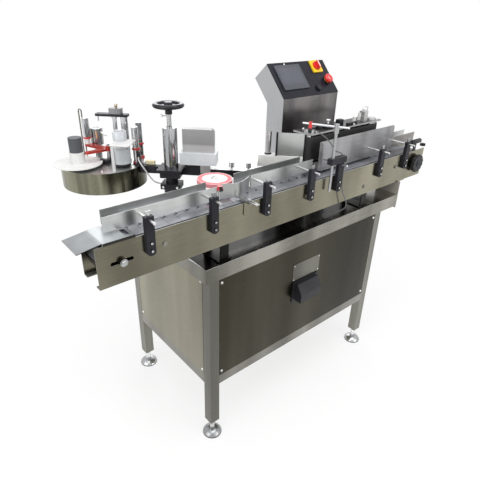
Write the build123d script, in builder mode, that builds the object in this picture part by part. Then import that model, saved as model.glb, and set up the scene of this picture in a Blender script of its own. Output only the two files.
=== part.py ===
"""Bottle labelling machine: a slat conveyor on a cabinet, with a wrap station and a label head.

X runs along the conveyor towards the outfeed, Y to the rear, Z up.
The origin is on the floor, at the middle of the four legs. Millimetres.
"""

import os
from math import atan2, cos, degrees, pi, radians, sin, sqrt

from build123d import *

os.makedirs("parts", exist_ok=True)

# General sizes
CLEAR = 0.3
SHEET = 2.0

# Cabinet
TUBE = 38.0
TUBE_WALL = 2.0
CABINET_LENGTH = 896.0
CABINET_DEPTH = 518.0
LEG_BOTTOM = 68.0
LOW_RAIL_Z = 249.0
TOP_Z = 738.0
SKIRT = 51.0
TOP_OVERHANG_LEFT = 14.0
TOP_OVERHANG_RIGHT = 108.0
TOP_OVERHANG_SIDE = 2.0
PANEL_GAP = 2.0
PANEL_SCREW_INSET = 17.0
PANEL_SCREW_RADIUS = 4.0
PLATE_LENGTH = 144.0
PLATE_HEIGHT = 70.0
PLATE_Z = TOP_Z - 160.0
RIVET_INSET = 6.0
HANDLE_Z = TOP_Z - 246.0
HANDLE_LENGTH = 136.0
HANDLE_HEIGHT = 92.0
HANDLE_REACH = 34.0
HANDLE_WALL = 4.0
FOOT_RADIUS = 35.0
FOOT_HEIGHT = 22.0
STEM_RADIUS = 8.0

# Conveyor
CONVEYOR_LEFT = -779.0
CONVEYOR_LENGTH = 1500.0
CONVEYOR_WIDTH = 98.0
CONVEYOR_FRONT = -248.0
SIDE_PLATE = 3.0
SIDE_TOP = TOP_Z + 175.0
SIDE_HEIGHT = 118.0
FLANGE = 20.0
CHAIN_PITCH = 38.1
SPROCKET_PITCHES = 8
CHAIN_SPAN_PITCHES = 36
CHAIN_WIDTH = 82.5
CHAIN_TOP = SIDE_TOP + 1.0
SLAT = 3.0
PIN_DROP = 7.0
EYE_RADIUS = 4.5
EYE_WIDTH = 24.0
DRIVE_X = 660.0
SHAFT_RADIUS = 10.0
SPACER_RADIUS = 10.0
SPACERS = 7
WEAR_STRIP_WIDTH = 16.0
WEAR_STRIP_HEIGHT = 12.0
BEARING_RADIUS = 26.0
BEARING_THICK = 8.0
KNOB_RADIUS = 38.0
KNOB_THICK = 13.0
KNOB_FLUTE = 6.0
KNOB_FLUTES = 12
GEAR_BOX = 84.0
MOTOR_RADIUS = 36.0
TAKE_UP_SLOT = 64.0

# Guide posts and rails
POST_WIDTH = 25.0
POST_DEPTH = 14.0
POST_BOTTOM = SIDE_TOP - 61.0
POST_TOP = SIDE_TOP + 51.0
POST_X = (-633.0, -426.0, -220.0, -16.0, 129.0, 387.0, 565.0)
ROD_RADIUS = 4.0
ROD_Z = SIDE_TOP + 41.0
ROD_FRONT = CONVEYOR_FRONT - 38.0
RAIL = 1.5
RAIL_TOP = SIDE_TOP + 54.0
RAIL_BOTTOM = SIDE_TOP + 12.0
LANE_FRONT = CONVEYOR_FRONT + 48.0
LANE_MID_FRONT = CONVEYOR_FRONT + 62.0
LANE_REAR = CONVEYOR_FRONT + CONVEYOR_WIDTH - 3.0
LANE_MID_REAR = LANE_REAR + 12.0
LANE_OUT_REAR = LANE_MID_REAR + 9.0

# Wrap station
BELT_X0 = 107.0
BELT_X1 = 480.0
BELT_FACE_Y = CONVEYOR_FRONT + CONVEYOR_WIDTH + 5.0
BELT_THICK = 5.0
ROLLER_RADIUS = 22.0
BELT_BOTTOM = SIDE_TOP + 27.0
BELT_TOP = BELT_BOTTOM + 88.0
FRAME_PLATE = 6.0
WRAP_REAR = -58.0

# Console
CONSOLE_LEFT = 106.0
CONSOLE_WIDTH = 314.0
CONSOLE_FRONT = 20.0
CONSOLE_DEPTH = 88.0
CONSOLE_BEND_Z = TOP_Z + 396.0
FACE_SLOPE = 152.0
FACE_ANGLE = 47.9
HEAD_DEPTH = 83.0
CONSOLE_WALL = 2.0
FACE_THICK = 4.0
FACE_HOLE_DEPTH = 6.0
STOP_HOLE = 9.0
BUTTON_HOLE = 7.0
SWITCH_HOLE = 6.0
SCREEN_WIDTH = 136.0
SCREEN_HEIGHT = 106.0
SCREEN_U = 90.0
SCREEN_V = 85.0
SWITCH_U = 250.0
SWITCH_V = 122.0
SWITCH_SIZE = 54.0
STOP_U = 276.0
STOP_V = 56.0
BUTTON_U = 207.0
BUTTON_V = 27.0

# Label head, in its own axes: s along the beam towards the peel end, t across to the rear
HEAD_X = -360.0
HEAD_Y = 72.0
HEAD_ANGLE = -45.0
DECK_Z = SIDE_TOP + 32.0
COLUMN_RADIUS = 24.0
COLUMN_BORE = 21.0
COLUMN_TOP = DECK_Z + 140.0
BEAM_WIDTH = 26.0
BEAM_HEIGHT = 25.0
BEAM_T = 27.0
BEAM_END = 285.0
LIFT = 60.0
DRUM_S = -253.0
DRUM_T = 48.0
DRUM_RADIUS = 145.0
DRUM_HEIGHT = 73.0

head = Plane(
    origin=(HEAD_X, HEAD_Y, 0),
    x_dir=(cos(radians(HEAD_ANGLE)), sin(radians(HEAD_ANGLE)), 0),
    z_dir=(0, 0, 1),
)


def block(x0, x1, y0, y1, z0, z1):
    """A box between two corners, in the part being built."""
    with Locations(((x0 + x1) / 2, (y0 + y1) / 2, (z0 + z1) / 2)):
        Box(x1 - x0, y1 - y0, z1 - z0)


def rod(centre, radius, length, axis="Z", mode=Mode.ADD):
    """A round bar from a centre on its low end, along one axis."""
    turn = {"Z": (0, 0, 0), "Y": (-90, 0, 0), "X": (0, 90, 0)}[axis]
    with Locations(Location(centre, turn)):
        Cylinder(radius, length, align=(Align.CENTER, Align.CENTER, Align.MIN), mode=mode)


def write(part, name):
    """Label a finished piece and write it."""
    part.label = name
    export_step(part, f"parts/{name}.step")


# Cabinet frame
half_length = CABINET_LENGTH / 2
half_depth = CABINET_DEPTH / 2
leg_x = half_length - TUBE / 2
leg_y = half_depth - TUBE / 2
under_top = TOP_Z - SHEET
leg_places = [(x, y) for x in (-leg_x, leg_x) for y in (-leg_y, leg_y)]

with BuildPart() as corner_legs:
    for x, y in leg_places:
        with BuildSketch(Plane.XY.offset(LEG_BOTTOM)):
            with Locations((x, y)):
                Rectangle(TUBE, TUBE)
                Rectangle(TUBE - 2 * TUBE_WALL, TUBE - 2 * TUBE_WALL, mode=Mode.SUBTRACT)
        extrude(amount=under_top - LEG_BOTTOM)
        with BuildSketch(Plane.XY.offset(LEG_BOTTOM)):
            with Locations((x, y)):
                Rectangle(TUBE - 2 * TUBE_WALL, TUBE - 2 * TUBE_WALL)
                Circle(STEM_RADIUS + CLEAR, mode=Mode.SUBTRACT)
        extrude(amount=2 * TUBE_WALL)
write(corner_legs.part, "corner_legs")

with BuildPart() as frame_rails:
    rail_x = half_length - TUBE
    rail_y = half_depth - TUBE
    for z in (LOW_RAIL_Z, under_top - TUBE):
        for y in (-leg_y, leg_y):
            with BuildSketch(Plane.YZ.offset(-rail_x)):
                with Locations((y, z + TUBE / 2)):
                    Rectangle(TUBE, TUBE)
                    Rectangle(TUBE - 2 * TUBE_WALL, TUBE - 2 * TUBE_WALL, mode=Mode.SUBTRACT)
            extrude(amount=2 * rail_x)
        for x in (-leg_x, leg_x):
            with BuildSketch(Plane.XZ.offset(-rail_y)):
                with Locations((x, z + TUBE / 2)):
                    Rectangle(TUBE, TUBE)
                    Rectangle(TUBE - 2 * TUBE_WALL, TUBE - 2 * TUBE_WALL, mode=Mode.SUBTRACT)
            extrude(amount=2 * rail_y)
    for y in (-leg_y, leg_y):
        block(
            half_length, half_length + TOP_OVERHANG_RIGHT - SHEET,
            y - TUBE / 2, y + TUBE / 2, under_top - TUBE, under_top,
        )
write(frame_rails.part, "frame_rails")

with BuildPart() as table_top:
    top_left = -half_length - TOP_OVERHANG_LEFT
    top_right = half_length + TOP_OVERHANG_RIGHT
    top_half = half_depth + TOP_OVERHANG_SIDE
    block(top_left, top_right, -top_half, top_half, TOP_Z - SKIRT, TOP_Z)
    hollow = faces().sort_by(Axis.Z)[0]
    offset(amount=-SHEET, openings=hollow)
    fillet(edges().filter_by(Axis.Z).group_by(Axis.X)[0], SHEET)
write(table_top.part, "table_top")

panel_x = half_length - TUBE - PANEL_GAP
panel_y = half_depth - TUBE - PANEL_GAP
panel_low = LOW_RAIL_Z + TUBE + PANEL_GAP - TUBE_WALL
panel_high = TOP_Z - SKIRT - PANEL_GAP / 2

with BuildPart() as front_panel:
    block(-panel_x, panel_x, -half_depth, -half_depth + SHEET, panel_low, panel_high)
    with Locations((0, -half_depth + SHEET + TUBE / 4, (panel_low + panel_high) / 2)):
        Box(2 * panel_x - 2 * TUBE, TUBE / 2, panel_high - panel_low - 2 * TUBE)
    with Locations((0, -half_depth + SHEET + TUBE / 4, (panel_low + panel_high) / 2)):
        Box(2 * panel_x - 2 * TUBE - 2 * SHEET, TUBE / 2, panel_high - panel_low - 2 * TUBE - 2 * SHEET,
            mode=Mode.SUBTRACT)
write(front_panel.part, "front_panel")

with BuildPart() as cabinet_panels:
    for side in (-1, 1):
        outer = side * half_length
        inner = outer - side * SHEET
        block(min(outer, inner), max(outer, inner), -panel_y, panel_y, panel_low, panel_high)
    block(-panel_x, panel_x, half_depth - SHEET, half_depth, panel_low, panel_high)
    floor_z = LOW_RAIL_Z + TUBE
    floor_x = rail_x - CLEAR
    floor_y = rail_y - CLEAR
    block(-floor_x, floor_x, -floor_y, floor_y, floor_z - SHEET, floor_z)
write(cabinet_panels.part, "cabinet_panels")

screw_z = (panel_low + PANEL_SCREW_INSET, panel_high - PANEL_SCREW_INSET + PANEL_GAP)
screw_x = panel_x - PANEL_SCREW_INSET / 2
screw_y = panel_y - PANEL_SCREW_INSET / 2
with BuildPart() as panel_screws:
    for z in screw_z:
        for x in (-screw_x, screw_x):
            with BuildSketch(Plane.XZ.offset(half_depth)):
                with Locations((x, z)):
                    Circle(PANEL_SCREW_RADIUS)
            extrude(amount=PANEL_SCREW_RADIUS / 2)
        for y in (-screw_y, screw_y):
            with BuildSketch(Plane.YZ.offset(-half_length)):
                with Locations((y, z)):
                    Circle(PANEL_SCREW_RADIUS)
            extrude(amount=-PANEL_SCREW_RADIUS / 2)
write(panel_screws.part, "panel_screws")

with BuildPart() as badge_plate:
    with BuildSketch(Plane.XZ.offset(half_depth)):
        with Locations((0, PLATE_Z)):
            RectangleRounded(PLATE_LENGTH, PLATE_HEIGHT, RIVET_INSET / 2)
    extrude(amount=SHEET / 2)
    with BuildSketch(Plane.XZ.offset(half_depth + SHEET / 2)):
        with Locations((0, PLATE_Z)):
            with GridLocations(PLATE_LENGTH - 2 * RIVET_INSET, PLATE_HEIGHT - 2 * RIVET_INSET, 2, 2):
                Circle(RIVET_INSET / 3)
    extrude(amount=SHEET / 2)
write(badge_plate.part, "badge_plate")

# A hooded pull: a flange against the panel and a shell open below
with BuildPart() as pull_handle:
    with BuildSketch(Plane.XZ.offset(half_depth)):
        with Locations((0, HANDLE_Z)):
            RectangleRounded(HANDLE_LENGTH, HANDLE_HEIGHT, HANDLE_WALL * 2)
    extrude(amount=HANDLE_WALL)
    hood_low = HANDLE_Z - HANDLE_HEIGHT / 2 + 3 * HANDLE_WALL
    hood_high = HANDLE_Z + HANDLE_HEIGHT / 2 - 2 * HANDLE_WALL
    hood_half = HANDLE_LENGTH / 2 - 3 * HANDLE_WALL
    with BuildSketch(Plane.YZ.offset(-hood_half)):
        with BuildLine():
            face_y = -half_depth - HANDLE_WALL
            Polyline(
                (face_y, hood_low), (face_y, hood_high), (face_y - HANDLE_REACH / 3, hood_high),
                (face_y - HANDLE_REACH, (hood_low + hood_high) / 2), (face_y - HANDLE_REACH, hood_low),
                close=True,
            )
        make_face()
    extrude(amount=2 * hood_half)
    with BuildSketch(Plane.YZ.offset(-hood_half + HANDLE_WALL)):
        with BuildLine():
            Polyline(
                (face_y, hood_low), (face_y, hood_high - HANDLE_WALL),
                (face_y - HANDLE_REACH / 3 + HANDLE_WALL / 2, hood_high - HANDLE_WALL),
                (face_y - HANDLE_REACH + HANDLE_WALL, (hood_low + hood_high) / 2),
                (face_y - HANDLE_REACH + HANDLE_WALL, hood_low),
                close=True,
            )
        make_face()
    extrude(amount=2 * (hood_half - HANDLE_WALL), mode=Mode.SUBTRACT)
write(pull_handle.part, "pull_handle")

with BuildPart() as levelling_feet:
    for x, y in leg_places:
        with BuildSketch(Plane(origin=(x, y, 0), x_dir=(1, 0, 0), z_dir=(0, -1, 0))):
            with BuildLine():
                base = Line((0, 0), (FOOT_RADIUS, 0))
                rim = Line(base @ 1, (FOOT_RADIUS, FOOT_HEIGHT / 4))
                dome = ThreePointArc(
                    rim @ 1, (FOOT_RADIUS * 0.72, FOOT_HEIGHT * 0.75), (STEM_RADIUS * 1.6, FOOT_HEIGHT)
                )
                Polyline(
                    dome @ 1, (STEM_RADIUS * 1.6, FOOT_HEIGHT + 6), (STEM_RADIUS, FOOT_HEIGHT + 6),
                    (STEM_RADIUS, LEG_BOTTOM + TUBE), (0, LEG_BOTTOM + TUBE), (0, 0),
                )
            make_face()
        revolve(axis=Axis((x, y, 0), (0, 0, 1)))
        with BuildSketch(Plane.XY.offset(LEG_BOTTOM - STEM_RADIUS)):
            with Locations((x, y)):
                RegularPolygon(STEM_RADIUS * 1.6, 6)
        extrude(amount=STEM_RADIUS - CLEAR)
write(levelling_feet.part, "levelling_feet")

# Back plate in the cabinet with drives, controller, supply and contactors
plate_margin = 60.0
plate_right = panel_x - plate_margin
box_inset = 48.0
box_left = box_inset - plate_right
drive_size = (90.0, 120.0, 150.0)
drive_step = 110.0
contactor_size = (45.0, 80.0, 80.0)
contactor_step = 50.0
controller = (plate_right - 268, plate_right - 128, 75.0, 100.0)
supply = (plate_right - 108, plate_right - 38, 110.0, 130.0)
terminals = (plate_right - 328, plate_right - box_inset, 45.0, 45.0)
drive_count = int((controller[0] - box_left) // drive_step)
contactor_count = int((terminals[0] - box_left) // contactor_step)
with BuildPart() as electrics_plate:
    plate_y = half_depth - TUBE - 20
    plate_low = floor_z + plate_margin
    plate_high = panel_high - plate_margin
    block(-plate_right, plate_right, plate_y, plate_y + SHEET, plate_low, plate_high)
    for x in (box_left, -box_left):
        block(x - TUBE / 2, x + TUBE / 2, plate_y, plate_y + SHEET, floor_z, plate_low)
    box_top = plate_high - plate_margin / 3
    for i in range(drive_count):
        x = box_left + i * drive_step
        block(x, x + drive_size[0], plate_y - drive_size[1], plate_y, box_top - drive_size[2], box_top)
    for x0, x1, deep, high in (controller, supply):
        block(x0, x1, plate_y - deep, plate_y, box_top - high, box_top)
    low = plate_low + plate_margin / 2
    for i in range(contactor_count):
        x = box_left + i * contactor_step
        block(x, x + contactor_size[0], plate_y - contactor_size[1], plate_y, low, low + contactor_size[2])
    x0, x1, deep, high = terminals
    block(x0, x1, plate_y - deep, plate_y, low + deep / 3, low + deep / 3 + high)
write(electrics_plate.part, "electrics_plate")

# Conveyor side plates, each with a flange folded inwards along its lower edge
conveyor_right = CONVEYOR_LEFT + CONVEYOR_LENGTH
conveyor_rear = CONVEYOR_FRONT + CONVEYOR_WIDTH
conveyor_y = (CONVEYOR_FRONT + conveyor_rear) / 2
side_bottom = SIDE_TOP - SIDE_HEIGHT
pin_z = CHAIN_TOP - PIN_DROP
sprocket_radius = CHAIN_PITCH / (2 * sin(pi / SPROCKET_PITCHES))
shaft_z = pin_z - sprocket_radius
idler_x = DRIVE_X - CHAIN_SPAN_PITCHES * CHAIN_PITCH
front_inside = CONVEYOR_FRONT + SIDE_PLATE
rear_inside = conveyor_rear - SIDE_PLATE
running = 0.08

with BuildPart() as side_plates:
    for outside, inward in ((CONVEYOR_FRONT, 1), (conveyor_rear, -1)):
        inside = outside + inward * SIDE_PLATE
        block(
            CONVEYOR_LEFT, conveyor_right, min(outside, inside), max(outside, inside), side_bottom, SIDE_TOP
        )
        edge = outside + inward * FLANGE
        block(
            CONVEYOR_LEFT, conveyor_right, min(outside, edge), max(outside, edge),
            side_bottom, side_bottom + SIDE_PLATE,
        )
        low = min(outside, inside) - 1
        rod((DRIVE_X, low, shaft_z), SHAFT_RADIUS + CLEAR, SIDE_PLATE + 2, "Y", Mode.SUBTRACT)
        with BuildSketch(Plane.XZ.offset(-low)):
            with Locations((idler_x, shaft_z)):
                SlotOverall(TAKE_UP_SLOT, 2 * (SHAFT_RADIUS / 2 + CLEAR))
        extrude(amount=-(SIDE_PLATE + 2), mode=Mode.SUBTRACT)
write(side_plates.part, "side_plates")

# Flanged bearings outside the plates: round at the drive end, square take-up blocks at the idler end
with BuildPart() as shaft_bearings:
    for outside, out in ((CONVEYOR_FRONT, -1), (conveyor_rear, 1)):
        low = min(outside, outside + out * BEARING_THICK)
        rod((DRIVE_X, low, shaft_z), BEARING_RADIUS, BEARING_THICK, "Y")
        rod((DRIVE_X, low - 1, shaft_z), SHAFT_RADIUS + running, BEARING_THICK + 2, "Y", Mode.SUBTRACT)
        rod((idler_x, low, shaft_z), SHAFT_RADIUS, BEARING_THICK, "Y")
        rod((idler_x, low - 1, shaft_z), SHAFT_RADIUS / 2 + running, BEARING_THICK + 2, "Y", Mode.SUBTRACT)
write(shaft_bearings.part, "shaft_bearings")

strip_top = CHAIN_TOP - SLAT
with BuildPart() as wear_strips:
    for y0 in (front_inside, rear_inside - WEAR_STRIP_WIDTH):
        block(
            idler_x, DRIVE_X, y0, y0 + WEAR_STRIP_WIDTH, strip_top - WEAR_STRIP_HEIGHT, strip_top - 0.2,
        )
write(wear_strips.part, "wear_strips")

with BuildPart() as cross_spacers:
    spacer_gap = (DRIVE_X - idler_x - 4 * sprocket_radius) / (SPACERS - 1)
    for i in range(SPACERS):
        x = idler_x + 2 * sprocket_radius + i * spacer_gap
        rod((x, front_inside, shaft_z), SPACER_RADIUS, rear_inside - front_inside, "Y")
write(cross_spacers.part, "cross_spacers")


def chain_pin(place):
    """Pin centre in X and Z after a number of pitches round the loop, from the idler's top."""
    span = CHAIN_SPAN_PITCHES
    turn = SPROCKET_PITCHES / 2
    place = place % (2 * span + 2 * turn)
    if place <= span:
        return idler_x + place * CHAIN_PITCH, pin_z
    if place <= span + turn:
        angle = pi / 2 - (place - span) / turn * pi
        return DRIVE_X + sprocket_radius * cos(angle), shaft_z + sprocket_radius * sin(angle)
    if place <= 2 * span + turn:
        return DRIVE_X - (place - span - turn) * CHAIN_PITCH, shaft_z - sprocket_radius
    angle = -pi / 2 - (place - 2 * span - turn) / turn * pi
    return idler_x + sprocket_radius * cos(angle), shaft_z + sprocket_radius * sin(angle)


# One link: a slat with a middle eye at its rear pin and two outer eyes at its front pin
link_gap = 0.8
eye_side = 0.4
slat_rise = PIN_DROP - SLAT
with BuildPart() as link:
    with BuildSketch(Plane.XY.offset(slat_rise)):
        with Locations((CHAIN_PITCH / 2, 0)):
            Rectangle(CHAIN_PITCH - link_gap, CHAIN_WIDTH)
    extrude(amount=SLAT)
    for x, y0, y1 in (
        (0, -EYE_WIDTH / 2, EYE_WIDTH / 2),
        (CHAIN_PITCH, EYE_WIDTH / 2 + eye_side, EYE_WIDTH + eye_side),
        (CHAIN_PITCH, -EYE_WIDTH - eye_side, -EYE_WIDTH / 2 - eye_side),
    ):
        lean = EYE_RADIUS if x == 0 else -EYE_RADIUS
        with BuildSketch(Plane.XZ.offset(-y0)):
            with BuildLine():
                Polyline(
                    (x - EYE_RADIUS / 2, -EYE_RADIUS), (x + EYE_RADIUS / 2, -EYE_RADIUS),
                    (x + EYE_RADIUS, 0), (x + EYE_RADIUS / 2 + max(lean, 0), slat_rise),
                    (x - EYE_RADIUS / 2 + min(lean, 0), slat_rise), (x - EYE_RADIUS, 0), close=True,
                )
            make_face()
        extrude(amount=-(y1 - y0))

links = []
link_count = 2 * CHAIN_SPAN_PITCHES + SPROCKET_PITCHES
for i in range(link_count):
    x0, z0 = chain_pin(i)
    x1, z1 = chain_pin(i + 1)
    lie = Plane(origin=(x0, conveyor_y, z0), x_dir=(x1 - x0, 0, z1 - z0), z_dir=(z0 - z1, 0, x1 - x0))
    links.append(lie.location * link.part)
write(Compound(children=links), "slat_chain")

# Sprockets: a drum under the hinges with a toothed rim at each side of them, clear of the chain all round
hinge_inside = sqrt(
    (CHAIN_PITCH / 2 - EYE_RADIUS / 2) ** 2 + (sprocket_radius * cos(pi / SPROCKET_PITCHES) - EYE_RADIUS) ** 2
)
rim_inner = EYE_WIDTH + eye_side + 2 * CLEAR
rim_outer = CONVEYOR_WIDTH / 2 - SIDE_PLATE - WEAR_STRIP_WIDTH - 2 * CLEAR


def sprocket(x):
    """A drum and its two toothed rims about a shaft line, across the middle of the conveyor."""
    rod((x, conveyor_y - rim_outer, shaft_z), hinge_inside - 2 * CLEAR, 2 * rim_outer, "Y")
    for low in (-rim_outer, rim_inner):
        with BuildSketch(Plane.XZ.offset(-(conveyor_y + low))) as rim:
            with Locations((x, shaft_z)):
                Circle(sprocket_radius - 1)
                with PolarLocations(sprocket_radius, SPROCKET_PITCHES):
                    Circle(EYE_RADIUS + 2 * CLEAR, mode=Mode.SUBTRACT)
        extrude(rim.sketch, amount=-(rim_outer - rim_inner))


knob_y = CONVEYOR_FRONT - BEARING_THICK - CLEAR
motor_y = conveyor_rear + BEARING_THICK
with BuildPart() as drive_shaft:
    sprocket(DRIVE_X)
    shaft_front = knob_y - KNOB_THICK
    rod((DRIVE_X, shaft_front, shaft_z), SHAFT_RADIUS, motor_y + GEAR_BOX / 2 - shaft_front, "Y")
write(drive_shaft.part, "drive_shaft")

with BuildPart() as hand_knob:
    with BuildSketch(Plane.XZ.offset(-knob_y)):
        with Locations((DRIVE_X, shaft_z)):
            Circle(KNOB_RADIUS)
            with PolarLocations(KNOB_RADIUS + KNOB_FLUTE / 2, KNOB_FLUTES):
                Circle(KNOB_FLUTE, mode=Mode.SUBTRACT)
            Circle(SHAFT_RADIUS, mode=Mode.SUBTRACT)
    extrude(amount=KNOB_THICK)
    chamfer(faces().sort_by(Axis.Y)[0].outer_wire().edges(), KNOB_THICK / 6)
write(hand_knob.part, "hand_knob")

with BuildPart() as idler_shaft:
    sprocket(idler_x)
    rod(
        (idler_x, CONVEYOR_FRONT - BEARING_THICK - 2, shaft_z), SHAFT_RADIUS / 2,
        CONVEYOR_WIDTH + 2 * BEARING_THICK + 4, "Y",
    )
write(idler_shaft.part, "idler_shaft")

# Infeed dead plate: flat over the chain's end, then bent slightly down, on tabs that stand on the side plates
dead_right = CONVEYOR_LEFT + 110
dead_bend = CONVEYOR_LEFT + 22
dead_left = CONVEYOR_LEFT - 43
dead_drop = 9.0
dead_z = CHAIN_TOP + 5
slot_size = (14.0, 34.0)
with BuildPart() as dead_plate:
    with BuildSketch(Plane.XZ.offset(-front_inside)):
        with BuildLine():
            Polyline(
                (dead_right, dead_z), (dead_bend, dead_z), (dead_left, dead_z - dead_drop),
                (dead_left, dead_z - dead_drop + SHEET), (dead_bend, dead_z + SHEET),
                (dead_right, dead_z + SHEET), close=True,
            )
        make_face()
    extrude(amount=-(rear_inside - front_inside))
    for y0, y1 in ((CONVEYOR_FRONT, front_inside), (rear_inside, conveyor_rear)):
        block(dead_bend, dead_right, y0, y1, SIDE_TOP, dead_z + SHEET)
    with BuildSketch(Plane.XY.offset(dead_z)):
        with Locations((dead_right - slot_size[0] - SHEET, conveyor_y - slot_size[0] - 3 * SHEET)):
            Rectangle(*slot_size)
    extrude(amount=SHEET, mode=Mode.SUBTRACT)
write(dead_plate.part, "dead_plate")

# Stands on the table and the end plate that carries the outfeed side
stand_x = (-378.0, 326.0)
stand_foot = 25.0
stand_web = 16.0
stand_sheet = 4.0
shelf = 45.0
with BuildPart() as conveyor_stands:
    for x in stand_x:
        block(
            x - stand_foot, x + stand_foot, CONVEYOR_FRONT + SHEET, conveyor_rear - SHEET, TOP_Z,
            TOP_Z + stand_sheet,
        )
        for y in (CONVEYOR_FRONT + stand_sheet, conveyor_rear - 2 * stand_sheet):
            block(x - stand_web, x + stand_web, y, y + stand_sheet, TOP_Z + stand_sheet, side_bottom)
    end_plate = top_right + SIDE_PLATE
    block(top_right, end_plate, -half_depth, conveyor_rear, TOP_Z - SKIRT - 5 * SHEET, side_bottom)
    block(end_plate, top_right + shelf, CONVEYOR_FRONT, conveyor_rear, side_bottom - SIDE_PLATE, side_bottom)
write(conveyor_stands.part, "conveyor_stands")

# Divider wheel place, beside the lane
divider_x = -322.0
divider_y = LANE_REAR + 33
divider_radius = 56.0
divider_z = SIDE_TOP + 33
divider_thick = 12.0
divider_shaft = 6.0
hub_radius = 14.0
hub_nut = (8.0, 6.0)
belt_inner = ROLLER_RADIUS + CLEAR
belt_outer = belt_inner + BELT_THICK
belt_y = BELT_FACE_Y + belt_outer
plate_bottom = BELT_BOTTOM - 2.5 * FRAME_PLATE
plate_top = BELT_TOP + FRAME_PLATE
roller_shaft = 8.0

# Gear motors for the chain, the divider wheel and the belt
half_box = GEAR_BOX / 2
motor_length = 120.0
fan_cover = 30.0
bracket_z = SIDE_TOP - 13
bracket_half = 36.0
small_motor = 30.0
belt_motor = (29.0, 90.0)
with BuildPart() as motors:
    block(
        DRIVE_X - half_box, DRIVE_X + half_box, motor_y, motor_y + GEAR_BOX, shaft_z - half_box,
        shaft_z + half_box,
    )
    rod((DRIVE_X, motor_y - 1, shaft_z), SHAFT_RADIUS + running, 50, "Y", Mode.SUBTRACT)
    rod((DRIVE_X, motor_y + GEAR_BOX, shaft_z), MOTOR_RADIUS, motor_length, "Y")
    rod((DRIVE_X, motor_y + GEAR_BOX + motor_length, shaft_z), MOTOR_RADIUS - 4, fan_cover, "Y")
    left, right = divider_x - bracket_half, divider_x + bracket_half
    block(left, right, conveyor_rear, divider_y + 40, bracket_z, bracket_z + stand_sheet)
    block(left, right, conveyor_rear, conveyor_rear + stand_sheet, bracket_z - 50, bracket_z)
    rod((divider_x, divider_y + 8, bracket_z - 80), small_motor, 80)
    rod((divider_x, divider_y, bracket_z - 20), divider_shaft + CLEAR, 30, "Z", Mode.SUBTRACT)
    rod((BELT_X1, belt_y, plate_bottom - belt_motor[1]), *belt_motor)
    rod((BELT_X1, belt_y, plate_bottom - 25), roller_shaft + CLEAR, 30, "Z", Mode.SUBTRACT)
write(motors.part, "motors")

# Seven guide posts with a round foot, each bored for a rail's rod and its clamp screw
post_front = CONVEYOR_FRONT - POST_DEPTH
post_middle = post_front + POST_DEPTH / 2
screw_hole = 2.5
with BuildPart() as guide_posts:
    for x in POST_X:
        with BuildSketch(Plane.XZ.offset(-CONVEYOR_FRONT)):
            with BuildLine():
                half = POST_WIDTH / 2
                Polyline(
                    (x - half, POST_BOTTOM + half / 2), (x - half, POST_TOP), (x + half, POST_TOP),
                    (x + half, POST_BOTTOM + half / 2),
                )
                ThreePointArc(
                    (x + half, POST_BOTTOM + half / 2), (x, POST_BOTTOM), (x - half, POST_BOTTOM + half / 2)
                )
            make_face()
        extrude(amount=POST_DEPTH)
        rod((x, post_front - 1, ROD_Z), ROD_RADIUS + CLEAR, POST_DEPTH + 2, "Y", Mode.SUBTRACT)
        rod((x, post_middle, ROD_Z), screw_hole, POST_TOP - ROD_Z + 1, "Z", Mode.SUBTRACT)
write(guide_posts.part, "guide_posts")

stand_post = 4
stem_low = ROD_Z + ROD_RADIUS + CLEAR
arm_x = -300.0
arm_z = SIDE_TOP + 8
arm_thick = 3.0
bracket = 3.0
bracket_wide = 10.0
bolt_radius = 4.5
bolt_head = 3.0
wing = (16.0, 3.0, 7.0)
with BuildPart() as post_screws:
    left, right = arm_x - bracket_wide, arm_x + bracket_wide
    top = arm_z - CLEAR
    block(left, right, CONVEYOR_FRONT - bracket, CONVEYOR_FRONT, top - 45, top)
    block(left, right, post_front - 12, CONVEYOR_FRONT, top - bracket, top)
    rod((arm_x, post_front, top), bracket, arm_thick + 2 * CLEAR)
    rod((arm_x, post_front, arm_z + arm_thick + CLEAR), 2 * bracket, 4)
    for i, x in enumerate(POST_X):
        for z in (POST_BOTTOM + 14, POST_BOTTOM + 37):
            rod((x, post_front - bolt_head, z), bolt_radius, bolt_head, "Y")
        if i == stand_post:
            rod((x, post_middle, stem_low), screw_hole, POST_TOP - stem_low)
            continue
        rod((x, post_middle, stem_low), screw_hole, POST_TOP + wing[2] - stem_low)
        rod((x, post_middle, POST_TOP + 3), 2 * screw_hole, 4)
        with Locations((x, post_middle, POST_TOP + wing[2])):
            Box(*wing, align=(Align.CENTER, Align.CENTER, Align.MIN))
write(post_screws.part, "post_screws")


def rail_rods(x_places, y_rail):
    """Rods from a rail out through the posts, in the part being built."""
    for x in x_places:
        rod((x, ROD_FRONT, ROD_Z), ROD_RADIUS, y_rail - ROD_FRONT, "Y")


infeed_left = CONVEYOR_LEFT + 46
infeed_right = -355.0
with BuildPart() as infeed_rail:
    block(infeed_left, infeed_right, LANE_FRONT - RAIL, LANE_FRONT, RAIL_BOTTOM, RAIL_TOP)
    rail_rods(POST_X[0:2], LANE_FRONT - RAIL)
write(infeed_rail.part, "infeed_rail")

mid_rail_left = -230.0
mid_rail_right = 60.0
with BuildPart() as mid_rail:
    block(mid_rail_left, mid_rail_right, LANE_MID_FRONT - RAIL, LANE_MID_FRONT, RAIL_BOTTOM, RAIL_TOP)
    rail_rods(POST_X[2:4], LANE_MID_FRONT - RAIL)
write(mid_rail.part, "mid_rail")

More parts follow.
